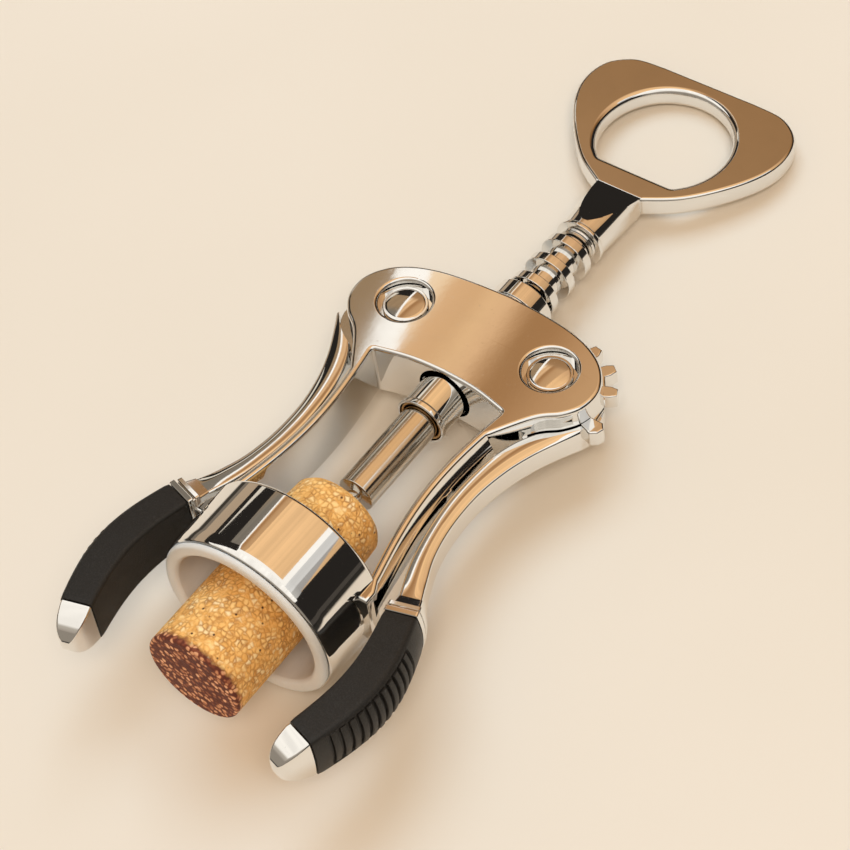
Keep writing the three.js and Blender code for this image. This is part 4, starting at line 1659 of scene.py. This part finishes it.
@dataclass
class Lever(SubAssembly):
    """One geared lever with its grip and end tip. It is drawn for the right side."""

    side: Side = Side.RIGHT
    gear_hub: float = 10.3
    gear_root: float = 11.4
    gear_tip: float = 12.8
    gear_pitch: float = 12.1
    gear_bore: float = 3.3
    gear_half: float = 1.7
    gear_edge: float = 0.32
    gear_rim: Pair = (-2.0, -156.0)
    pitch: float = 5.8
    offset: float = 1.2
    teeth: int = 7
    tooth_tip: float = 1.75
    tooth_root: float = 2.75
    block: Sequence[Pair] = ((9.9, -15), (13.9, -11), (15.1, -15), (15.0, -21), (14.2, -26),
                             (9.9, -29))
    block_thickness: float = 3.9
    block_edge: float = 0.4
    block_round: float = 0.3
    root_low: Pair = (9.8, -80.0)
    root_high: Pair = (12.3, -23.0)
    root_step: float = 4.0
    root_swell: float = 1.6
    root_edge: float = 0.15
    arm_half: float = 3.0
    arm_top: float = 13.2
    clear: float = 9.0
    arm_crest: float = 0.55
    arm_dip: float = 0.36
    arm_fall: float = 0.5
    arm_rim: Sequence[Pair] = ((0.0, -0.45), (0.06, -0.16), (0.18, -0.04), (0.34, 0.0))
    arm_inner: Sequence[Pair] = (
        (22.2, 17.4), (20.1, 22.6), (18.5, 28.2), (17.2, 36.0), (16.95, 43.5), (17.9, 52.0),
        (20.0, 58.4), (23.4, 63.2), (27.8, 66.7))
    arm_outer: Sequence[Pair] = (
        (26.5, 18.6), (24.1, 23.9), (22.2, 28.9), (21.0, 35.6), (20.9, 43.6), (22.1, 50.8),
        (24.1, 56.8), (26.4, 61.6), (28.8, 65.9))
    grip_x: float = 25.6
    grip_top: float = 13.6
    grip_length: float = 28.8
    grip_bow: float = 2.6
    grip_width: float = 6.8
    grip_height: float = 11.4
    grip_bulge: float = 1.78
    grip_edge: float = 0.9
    grip_step: float = 0.9
    grip_pinch: float = 0.02
    pinch_reach: float = 0.5
    fullness: Pair = (0.93, 0.07)
    bulge_end: float = 0.4
    overlap: float = 0.3
    ferrule_edge: float = 0.4
    tip_edge: float = 0.09
    ferrule_rows: Sequence[Triple] = (
        (0.0, 0.92, 0.9), (0.12, 0.94, 0.92), (0.95, 0.94, 0.92), (1.07, 0.92, 0.9),
        (1.12, 0.84, 0.74), (1.55, 0.84, 0.74), (1.6, 0.9, 0.82), (1.72, 0.92, 0.84),
        (2.5, 0.9, 0.82), (2.62, 0.86, 0.78), (2.7, 0.76, 0.64), (4.9, 0.66, 0.55))
    tip_length: float = 6.4
    tip_rows: Sequence[Triple] = (
        (0.0, 0.87, 0.87), (0.1, 0.87, 0.85), (0.25, 0.84, 0.79), (0.4, 0.8, 0.73),
        (0.55, 0.74, 0.66), (0.7, 0.65, 0.57), (0.82, 0.54, 0.46), (0.91, 0.41, 0.34),
        (0.97, 0.26, 0.21), (1.0, 0.1, 0.08))
    rib_count: int = 11
    rib_start: float = 0.24
    rib_end: float = 0.86
    rib_foot: float = -2.6
    rib_inset: float = 1.35
    rib_bow: float = 0.85
    rib_rows: Sequence[Pair] = ((-0.66, 0.9), (-0.66, 0.3), (-0.56, 0.08), (-0.36, 0.0),
                                (0.36, 0.0), (0.56, 0.08), (0.66, 0.3), (0.66, 0.9))
    sink: float = 0.7
    sink_margin: float = 1.0
    sink_slope: float = 0.25
    sink_inset: float = 1.3
    sink_flank: float = 0.3

    def about_pin(self, radius: float, angle: float) -> Pair:
        """A place at a radius and an angle in radians about the pin."""
        x, y = polar(radius, angle)
        return self.pin_x + x, self.pin_y + y

    def grip_at(self, share: float) -> tuple[Vector, Vector, Vector]:
        """Finds the middle of the grip at a share of its length.

        Args:
            share: The share, from the grip's top.

        Returns:
            The middle, the way down along the grip and the way out of its outer side.
        """
        x = self.grip_x + self.grip_bow * math.sin(math.pi * share)
        centre = Vector((x, self.grip_top - self.grip_length * share, 0.0))
        slope = self.grip_bow * math.pi * math.cos(math.pi * share) / self.grip_length
        down = Vector((slope, -1.0, 0.0)).normalized()
        return centre, down, Vector((-down.y, down.x, 0.0))

    def bulge_at(self, share: float) -> float:
        """How far the grip's outer side bows out at a share of its length."""
        return self.grip_bulge * (self.bulge_end + (1 - self.bulge_end) * math.sin(math.pi * share))

    def swell_at(self, share: float) -> float:
        """How full the grip is at a share of its length."""
        least, more = self.fullness
        return least + more * math.sin(math.pi * share)

    def section(self, centre: Vector, out: Vector, pairs: Sequence[Pair]) -> list[Vector]:
        """Sets (outward, upward) pairs square to the lever's line."""
        return [centre + out * across + Vector((0.0, 0.0, up)) for across, up in pairs]

    def grip_pairs(self, width: float, height: float, bulge: float, edge: float) -> list[Pair]:
        """The grip's section: flat faces and inner side, bowed outer side, rounded edges.

        Args:
            width: Its width across, without the bow.
            height: Its height.
            bulge: How far the outer side bows out.
            edge: The radius of its edges.

        Returns:
            (outward, upward) pairs, always the same number of them.
        """
        w, h = width / 2, height / 2
        line = filleted([(-w, -h), (w, -h), (w, h), (-w, h)], edge, 5, True)
        middle = [(w, t * (h - edge)) for t in evenly(-1.0, 1.0, 14)[1:-1]]
        line[12:12] = middle
        return [(x + bulge * (1 - (up / h) ** 2) if x > 0 else x, up) for x, up in line]

    def toothed(self) -> list[Pair]:
        """Draws the gear's outline.

        Returns:
            Its teeth first and then its plain rim.
        """
        pitch = self.pitch / self.gear_pitch
        gap = math.pi - self.offset / self.gear_pitch
        root, tip = self.tooth_root / 2, self.tooth_tip / 2
        flank = [(root, self.gear_hub), (root, self.gear_root), (tip, self.gear_tip)]
        tooth = [*flank, *[(-across, radius) for across, radius in reversed(flank)]]
        line: list[Pair] = []
        for k in range(self.teeth):
            c, s = polar(1.0, gap + pitch / 2 - k * pitch)
            line += [(self.pin_x + radius * c - across * s, self.pin_y + radius * s + across * c)
                     for across, radius in tooth]
        start, end = map(math.radians, self.gear_rim)
        return [*line, *[self.about_pin(self.gear_hub, a) for a in evenly(start, end, 24)]]

    def arm_ring(self, inner: Pair, outer: Pair, share: float) -> list[Vector]:
        """The arm's section: a softly arched face that falls away to the outer side.

        Args:
            inner: The section's place on the arm's inner edge.
            outer: Its place on the outer edge.
            share: How far up the arm it is.

        Returns:
            The section's points.
        """
        near, far = Vector((*inner, 0.0)), Vector((*outer, 0.0))
        span, edge = (far - near).length, self.arm_rim[-1][0]
        crest, fade = self.arm_crest, min(share / 0.1, 1.0)
        front = [(x / span, z) for x, z in self.arm_rim]
        front += [(edge / span + (1 - 2 * edge / span) * i / 16, 0.0) for i in range(1, 16)]
        front += [(1 - x / span, z) for x, z in reversed(self.arm_rim)]
        face = []
        for t, z in front:
            if t < crest:
                dip = self.arm_dip * (crest - t) ** 2
            else:
                dip = self.arm_fall * ((t - crest) / (1 - crest)) ** 1.6
            face.append((t, self.arm_half + z - dip * fade))
        return [near.lerp(far, t) + Vector((0.0, 0.0, z)) for t, z in doubled(face)]

    def arm(self) -> Object:
        """Skins the arm and cuts it round where it meets the head.

        Returns:
            The arm.
        """
        edges = list(zip(spline(self.arm_inner, 8), spline(self.arm_outer, 8)))
        last = len(edges) - 1
        arm = loft("arm", [self.arm_ring(a, b, i / last) for i, (a, b) in enumerate(edges)])
        disc = rod(self.arm_top, -self.clear, self.clear)
        return cut(arm, [peg("round", self.pin(Side.RIGHT), disc, WIDE_SIDES)])

    def root(self) -> Object:
        """Makes the thin root that runs from the arm into the gear.

        Returns:
            The root.
        """
        (inner, start), (outer, end), step = self.root_low, self.root_high, self.root_step
        low = [self.about_pin(inner, math.radians(start + step * i)) for i in range(15)]
        high = [self.about_pin(outer + self.root_swell * min(i / 9, 1.0) ** 0.7,
                               math.radians(end - step * i)) for i in range(15)]
        return rounded_plate("root", [[*low, *high]], self.gear_half * 2, self.root_edge, 3)

    def stop_block(self) -> Object:
        """The block beside the last tooth, above the arm's end."""
        line = [self.about_pin(radius, math.radians(turn)) for radius, turn in self.block]
        return rounded_plate("block", [filleted(line, self.block_round, 3, True)],
                             self.block_thickness, self.block_edge, 3)

    def fitting(self, name: str, share: float, length: float, rows: Sequence[Triple],
                edge: Callable[[float], float]) -> Object:
        """Skins a fitting onto one end of the grip.

        Args:
            name: The fitting's name.
            share: The grip's end, 0 at its top and 1 at its foot.
            length: What the rows' lengths are shares of; below 0 it runs up.
            rows: (length, width, height) of each section, as shares.
            edge: The radius of a section's edges, from its width.

        Returns:
            The fitting.
        """
        centre, down, out = self.grip_at(share)
        start = math.copysign(self.overlap, length)
        rings = []
        for along, wide, high in rows:
            width = self.grip_width * wide
            pairs = self.grip_pairs(width, self.grip_height * high, self.bulge_at(share) * high,
                                    edge(width))
            rings.append(self.section(centre + down * (start + along * length), out, pairs))
        return loft(name, rings)

    def ferrule(self) -> Object:
        """The stepped collar between arm and grip."""
        return self.fitting("ferrule", 0.0, -1.0, self.ferrule_rows,
                            lambda width: self.ferrule_edge)

    def tip(self) -> Object:
        """The bright end tip: a bullet with flat sloping facets at front and back."""
        return self.fitting("tip", 1.0, self.tip_length, self.tip_rows,
                            lambda width: width * self.tip_edge)

    def rib(self) -> Object:
        """Skins one rib of the grip.

        Returns:
            The rib, with its crest at the middle of the frame.
        """
        reach, bow = self.grip_height / 2 - self.rib_inset, self.grip_bulge * self.rib_bow
        rings = []
        for along, sink in self.rib_rows:
            outer = [(-bow * (2 * up / self.grip_height) ** 2 - sink, up)
                     for up in (reach * t for t in evenly(-1.0, 1.0, 14))]
            ring = [*outer, (self.rib_foot, reach), (self.rib_foot, -reach)]
            rings.append([Vector((x, along, up)) for x, up in ring])
        return loft("rib", rings)

    def ribs(self) -> Object:
        """Sets the ribs along the grip's outer crest.

        Returns:
            The row of ribs.
        """
        path = []
        for t in evenly(0.0, 1.0, 40):
            share = self.rib_start + (self.rib_end - self.rib_start) * (1 - t)
            centre, _, out = self.grip_at(share)
            reach = self.grip_width * self.swell_at(share) / 2 + self.bulge_at(share)
            path.append(place(*(centre + out * reach)))
        return Row().make("ribs", self.rib(), self.rib_count, path, self.paint.made[Slot.GRIP])

    def grip_steps(self) -> list[Pair]:
        """Spaces the grip's sections, which are sunk where its ribs stand.

        Returns:
            (place, share of the full sinking) of each section.
        """
        length, slope = self.grip_length, self.sink_slope
        start = self.rib_start * length - self.sink_margin
        end = self.rib_end * length + self.sink_margin
        marks = [(0.0, 0.0), (start - slope, 0.0), (start, 1.0), (end, 1.0), (end + slope, 0.0),
                 (length, 0.0)]
        dense: list[Pair] = []
        for (a, da), (b, db) in zip(marks, marks[1:]):
            steps = max(1, int((b - a) / self.grip_step))
            dense += list(zip(evenly(a, b, steps), evenly(da, db, steps)))[:-1]
        return [*dense, marks[-1]]

    def grip(self) -> Object:
        """Skins the grip and sets its ribs.

        Returns:
            The grip.
        """
        rings = []
        for along, sunk in self.grip_steps():
            share = along / self.grip_length
            centre, _, out = self.grip_at(share)
            swell = self.swell_at(share)
            end = min(along, self.grip_length - along)
            pinch = 1.0 - self.grip_pinch * max(0.0, 1.0 - end / self.pinch_reach) ** 2
            reach = self.grip_height * swell / 2
            shaped = []
            for across, up in self.grip_pairs(self.grip_width * swell * pinch,
                                              self.grip_height * swell * pinch,
                                              self.bulge_at(share), self.grip_edge):
                room = (reach - self.sink_inset - abs(up)) / self.sink_flank
                inside = max(0.0, min(1.0, room))
                shaped.append((across - (self.sink * sunk * inside if across > 0 else 0.0), up))
            rings.append(self.section(centre, out, shaped))
        return joined("grip", [loft("handle", rings), self.ribs()])

    def metal(self) -> Object:
        """Joins the bright part of the lever: gear, root, arm and ferrule.

        Returns:
            The bright part.
        """
        bore = [self.about_pin(self.gear_bore, 2 * math.pi * k / BORE_SIDES)
                for k in range(BORE_SIDES)]
        gear = rounded_plate("gear", [self.toothed(), bore], self.gear_half * 2,
                             self.gear_edge, 3)
        blocks = [self.stop_block()] if self.side is Side.RIGHT else []
        return joined("lever", [gear, self.root(), *blocks, self.arm(), self.ferrule()])

    def build(self) -> None:
        """Builds the lever, its grip and its tip on its own side."""
        word = self.side.name.lower()
        body = Body[f"LEVER_{self.side.name}"]
        for made, label, slot, node in ((self.metal(), "geared_arm", Slot.CHROME, "lever"),
                                        (self.grip(), "black_handle", Slot.GRIP, "grip"),
                                        (self.tip(), "end_tip", Slot.CHROME, "lever_tip")):
            name = f"{label}_{word}"
            piece = mirrored(name, made) if self.side is Side.LEFT else made
            piece.name = name
            self.settle(shaded(piece), body, slot, f"{node}_{word}")


# Camera, floor and light


def plain(tone: Tone) -> Stops:
    """One tone from end to end."""
    return (0.0, tone), (1.0, tone)


WARM, WHITE = (0.7, 0.41, 0.205), plain((1.15, 1.1, 1.02))
TAN = ((0.0, (1.0, 0.62, 0.31)), (0.3, (0.95, 0.58, 0.28)), (0.5, WARM),
       (0.68, (0.39, 0.2, 0.08)), (0.85, (0.2, 0.09, 0.03)))
LEFT_TAN = ((0.0, WARM), (0.12, WARM), (0.45, (0.45, 0.26, 0.13)), (0.628, (0.375, 0.205, 0.09)),
            (0.8, (0.33, 0.17, 0.07)))
RIGHT_TAN = ((0.0, (0.8, 0.5, 0.25)), (0.5, (0.6, 0.35, 0.17)), (1.0, (0.35, 0.18, 0.07)))
STRIPES = ((0.0, (0.98, 0.72, 0.46)), (0.03, (0.78, 0.47, 0.24)), (0.09, (0.75, 0.45, 0.225)),
           (0.136, (0.86, 0.54, 0.28)), (0.18, (0.83, 0.51, 0.27)), (0.215, (0.57, 0.32, 0.15)),
           (0.25, (0.41, 0.21, 0.085)), (0.31, (0.43, 0.22, 0.09)), (0.42, (0.57, 0.32, 0.15)),
           (0.48, (0.6, 0.35, 0.168)), (1.0, (0.7, 0.42, 0.21)))
LOW_SKY = ((0.0, (0.35, 0.3, 0.25)), (0.35, (0.5, 0.45, 0.38)), (0.45, (1.0, 0.95, 0.87)),
           (1.0, (1.15, 1.1, 1.02)))
PANEL = ((0.0, (0.2, 0.17, 0.14)), (0.3, (0.22, 0.19, 0.15)), (0.5, (0.36, 0.24, 0.135)),
         (1.0, (0.36, 0.24, 0.135)))
GREY = ((0.0, (0.82, 0.8, 0.77)), (1.0, (0.7, 0.68, 0.65)))
FAR_GREY = ((0.0, (0.56, 0.54, 0.5)), (1.0, (0.4, 0.38, 0.36)))


@dataclass(frozen=True)
class Card:
    """A glowing card that only the metal mirrors, with its reach in the spindle's frame.

    Its tones run along y. Some cards are banded, and stripes lie along one up to its fade.
    """

    name: str
    across: Pair
    along: Pair
    height: Pair
    tones: Stops
    bands: float = 0.0
    lean: float = 0.0
    stripes: Stops = ()
    pivot: float = 231.0
    stripe_height: float = 361.0
    stripe_slope: float = 0.095
    fade: Pair = (410.0, 480.0)
    band_scale: Triple = (26.0, 1.5, 1.0)
    band_edge: Pair = (0.3, 0.7)

    def corners(self) -> list[Vector]:
        """Places the corners: upright if the card has no width, or else flat and leaning.

        Returns:
            The four corners in the row frame.
        """
        (x0, x1), (y0, y1), (z0, z1) = self.across, self.along, self.height
        if x0 == x1:
            return [place(x0, y, z) for y, z in ((y0, z0), (y1, z0), (y1, z1), (y0, z1))]
        low, high = (self.lean * (y - self.pivot) for y in (y0, y1))
        return [place(x, y, z0) for x, y in ((x0 + low, y0), (x1 + low, y0), (x1 + high, y1),
                                             (x0 + high, y1))]

    def striped(self, hand: Nodes, at: dict[str, Socket], tone: Socket) -> Socket:
        """Runs stripes along the card, up to where they fade into its own tone.

        Args:
            hand: The hand on the card's tree.
            at: The x, y and z of its own coordinates.
            tone: Its tone.

        Returns:
            The tone with its stripes.
        """
        across = hand.plus(at["X"], hand.times(at["Y"], self.stripe_slope))
        slip = (self.lean * (self.stripe_height - self.pivot) * MM
                + place(0, self.stripe_height, 0).y * self.stripe_slope)
        low, high = (place(x, 0, 0).x + slip for x in self.across)
        stripes = hand.ramp(hand.ranged(across, low, high), self.stripes)
        start, end = (place(0, y, 0).y for y in self.fade)
        return hand.mix(hand.ranged(at["Y"], start, end, True), stripes, tone)

    def finish(self) -> Material:
        """Makes the card's glow, which runs through its tones along the spindle.

        Returns:
            The material.
        """
        material, hand, shader = fresh(self.name)
        material.node_tree.nodes.remove(shader)
        where = hand.place()
        at = hand.split(where)
        low, high = (place(0, y, 0).y for y in self.along)
        tone = hand.ramp(hand.ranged(at["Y"], low, high), self.tones)
        if self.stripes:
            tone = self.striped(hand, at, tone)
        bands = hand.noise(hand.stretched(where, self.band_scale), 1.0, 2.0)
        sway = hand.ranged(bands, *self.band_edge, to=(1.0 - self.bands, 1.0 + self.bands))
        glow = hand.add("ShaderNodeEmission", {"Color": tone, "Strength": sway})
        output = material.node_tree.nodes["Material Output"]
        hand.link(glow.outputs["Emission"], output.inputs["Surface"])
        return material

    def hang(self) -> None:
        """Hangs the card where only the metal sees it."""
        mesh = bpy.data.meshes.new(self.name)
        mesh.from_pydata(self.corners(), [], [(0, 1, 2, 3)])
        made = hung(self.name, mesh)
        made.visible_camera = made.visible_shadow = made.visible_diffuse = False
        mesh.materials.append(self.finish())


CARDS = (
    Card("ceiling", (-150, 272), (112, 760), (450, 450), TAN, 0.1),
    Card("ceiling_left", (-240, -60), (112, 760), (452, 452), LEFT_TAN, 0.03, -0.33, STRIPES),
    Card("ceiling_right", (272, 640), (330, 760), (450, 450), RIGHT_TAN, 0.1),
    Card("border_left", (-257, -238), (90, 760), (453, 453), WHITE, lean=-0.33),
    Card("border_right", (272, 345), (90, 330), (450, 450), WHITE),
    Card("border_low", (-215, 345), (58, 112), (449, 449), WHITE),
    Card("low_sky", (-800, 690), (-600, 58), (450, 450), LOW_SKY, 0.1),
    Card("panel_left", (-385, -240), (180, 470), (455, 455), PANEL, 0.1, -0.33),
    Card("glow_left", (-840, -450), (395, 500), (450, 450), plain((0.8, 0.72, 0.6)), 0.2),
    Card("grey_right", (345, 480), (60, 330), (450, 450), GREY, 0.05),
    Card("grey_far", (480, 650), (60, 330), (450, 450), FAR_GREY),
    Card("wall_high", (-900, -900), (-300, 1500), (115, 370), plain((0.5, 0.37, 0.25)), 0.1),
    Card("wall_low", (-900, -900), (-300, 1500), (20, 115), plain((0.22, 0.18, 0.14)), 0.1),
    Card("wall_right", (900, 900), (-300, 1500), (20, 110), plain((0.07, 0.06, 0.05))),
)


@dataclass(frozen=True)
class Lamp:
    """A soft lamp that the metal doesn't mirror."""

    name: str
    way: Triple
    distance: float
    size: float
    power: float
    colour: Tone
    aspect: float = 0.7
    aim: float = 60.0

    def hang(self) -> None:
        """Hangs the lamp, turned to the middle of the corkscrew."""
        lamp = bpy.data.lights.new(self.name, "AREA")
        lamp.shape = "RECTANGLE"
        lamp.size, lamp.size_y = self.size, self.size * self.aspect
        lamp.energy, lamp.color = self.power, self.colour
        made = hung(self.name, lamp)
        made.visible_glossy = False
        way = Vector(self.way).normalized()
        made.matrix_world = (Matrix.Translation(place(0, self.aim, 0) + way * self.distance)
                             @ way.to_track_quat("Z", "Y").to_matrix().to_4x4())


@dataclass
class Studio:
    """The photograph's view, a pale floor that the corkscrew lies on, and soft light."""

    azimuth: float = 42.67
    elevation: float = 50.32
    roll: float = -8.66
    distance: float = 481.8
    target: Triple = (1.25, 53.94, 0.0)
    lens: float = 107.92
    sensor: float = 36.0
    room_edge: Pair = (-0.3, -0.6)
    room_dark: Tone = (0.043, 0.037, 0.032)
    room_bright: Tone = (0.62, 0.54, 0.44)
    room_light: Tone = (1.0, 0.74, 0.48)
    room_seen: Tone = (0.8, 0.71, 0.59)
    bell_rest: Pair = (17.0, -19.0)
    crown_rest: Pair = (157.0, -2.3)
    floor_reach: float = 3.0
    floor_gap: float = 0.1 * MM
    floor_tones: Stops = ((0.3, (0.77, 0.69, 0.585)), (0.7, (0.81, 0.73, 0.63)))
    floor_dark: Tone = (0.02, 0.018, 0.015)
    floor_edge: Pair = (0.9, 1.25)
    floor_oval: Triple = (4.9, 3.9, 0.0)
    cloud_scale: float = 6.0
    lamps: Sequence[Lamp] = (
        Lamp("key", (-0.32, 0.28, 1.0), 3.0, 2.4, 54.0, (0.52, 0.77, 1.0)),
        Lamp("front", (0.4, -0.42, 0.8), 3.9, 1.65, 68.6, (1.0, 0.91, 0.8)))

    def build(self) -> None:
        """Sets up the camera, the room, the floor, the cards and the lamps."""
        bpy.context.scene.view_settings.view_transform = "Standard"
        self.build_camera()
        self.build_world()
        self.build_floor()
        for hanging in (*CARDS, *self.lamps):
            hanging.hang()

    def build_camera(self) -> None:
        """Places the camera where the photograph was taken from."""
        a, e, r = (math.radians(v) for v in (self.azimuth, self.elevation, self.roll))
        back = Vector((math.sin(a) * math.cos(e), -math.cos(a) * math.cos(e), math.sin(e)))
        across = Vector((math.cos(a), math.sin(a), 0.0))
        up = back.cross(across)
        turned_x = across * math.cos(r) + up * math.sin(r)
        turned_y = up * math.cos(r) - across * math.sin(r)
        at = place(*self.target) + back * (self.distance * MM)
        data = bpy.data.cameras.new("camera")
        data.sensor_width, data.lens, data.clip_start = self.sensor, self.lens, 0.01
        camera = hung("camera", data)
        turn = Matrix((turned_x, turned_y, back)).transposed()
        camera.matrix_world = Matrix.Translation(at) @ turn.to_4x4()
        bpy.context.scene.camera = camera

    def build_world(self) -> None:
        """A room: pale to the eye, warm as light, mostly dark where the metal mirrors it."""
        world = bpy.data.worlds.new("room")
        world.use_nodes = True
        hand = Nodes(world.node_tree)
        path = hand.add("ShaderNodeLightPath").outputs
        where = hand.split(hand.add("ShaderNodeTexCoord").outputs["Generated"])
        near = hand.ranged(where["Y"], *self.room_edge, True)
        walls = hand.mix(near, self.room_dark, self.room_bright)
        soft = hand.mix(path["Is Glossy Ray"], self.room_light, walls)
        seen = hand.mix(path["Is Camera Ray"], soft, self.room_seen)
        back = world.node_tree.nodes["Background"]
        hand.link(seen, back.inputs["Color"])
        hand.link(hand.plus(0.5, hand.times(path["Is Camera Ray"], 0.5)), back.inputs["Strength"])
        bpy.context.scene.world = world

    def build_floor(self) -> None:
        """The floor, which touches the bell's upper rim and the crown's end."""
        low, high = place(0, *self.bell_rest), place(0, *self.crown_rest)
        slope = math.atan2(high.z - low.z, high.y - low.y)
        reach = self.floor_reach
        mesh = bpy.data.meshes.new("floor")
        mesh.from_pydata([(-reach, -reach, 0), (reach, -reach, 0), (reach, reach, 0),
                          (-reach, reach, 0)], [], [(0, 1, 2, 3)])
        mesh.transform(Matrix.Rotation(slope, 4, "X"))
        mesh.transform(Matrix.Translation((low + high) / 2 + Vector((0, 0, -self.floor_gap))))
        floor = hung("floor", mesh)
        mesh.materials.append(self.floor_finish())

    def floor_finish(self) -> Material:
        """Makes a pale matt floor, of which the metal mirrors only the near part.

        Returns:
            The material.
        """
        material, hand, shader = fresh("pale floor")
        where = hand.place()
        tone = hand.ramp(hand.noise(where, self.cloud_scale, 3.0), self.floor_tones)
        away = hand.add("ShaderNodeVectorMath", {0: hand.stretched(where, self.floor_oval)},
                        operation="LENGTH").outputs["Value"]
        glossy = hand.add("ShaderNodeLightPath").outputs["Is Glossy Ray"]
        dark = hand.times(hand.ranged(away, *self.floor_edge), glossy)
        for label, value in (("Roughness", 0.6), ("Specular IOR Level", 0.2),
                             ("Base Color", hand.mix(dark, tone, self.floor_dark))):
            hand.link(value, shader.inputs[label])
        return material


def main() -> None:
    """Builds the corkscrew piece by piece, then the studio."""
    logging.basicConfig(level=logging.INFO, format="%(name)s: %(message)s")
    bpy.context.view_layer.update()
    paint = Paintbox()
    paint.build()
    for part in (Casting(paint), PivotPins(paint), Rack(paint), Spindle(paint), Cork(paint),
                 Lever(paint, side=Side.RIGHT), Lever(paint, side=Side.LEFT)):
        part.build()
        LOG.info("%s: %d pieces", type(part).__name__, len(part.pieces))
    Studio().build()


if __name__ == "__main__":
    main()
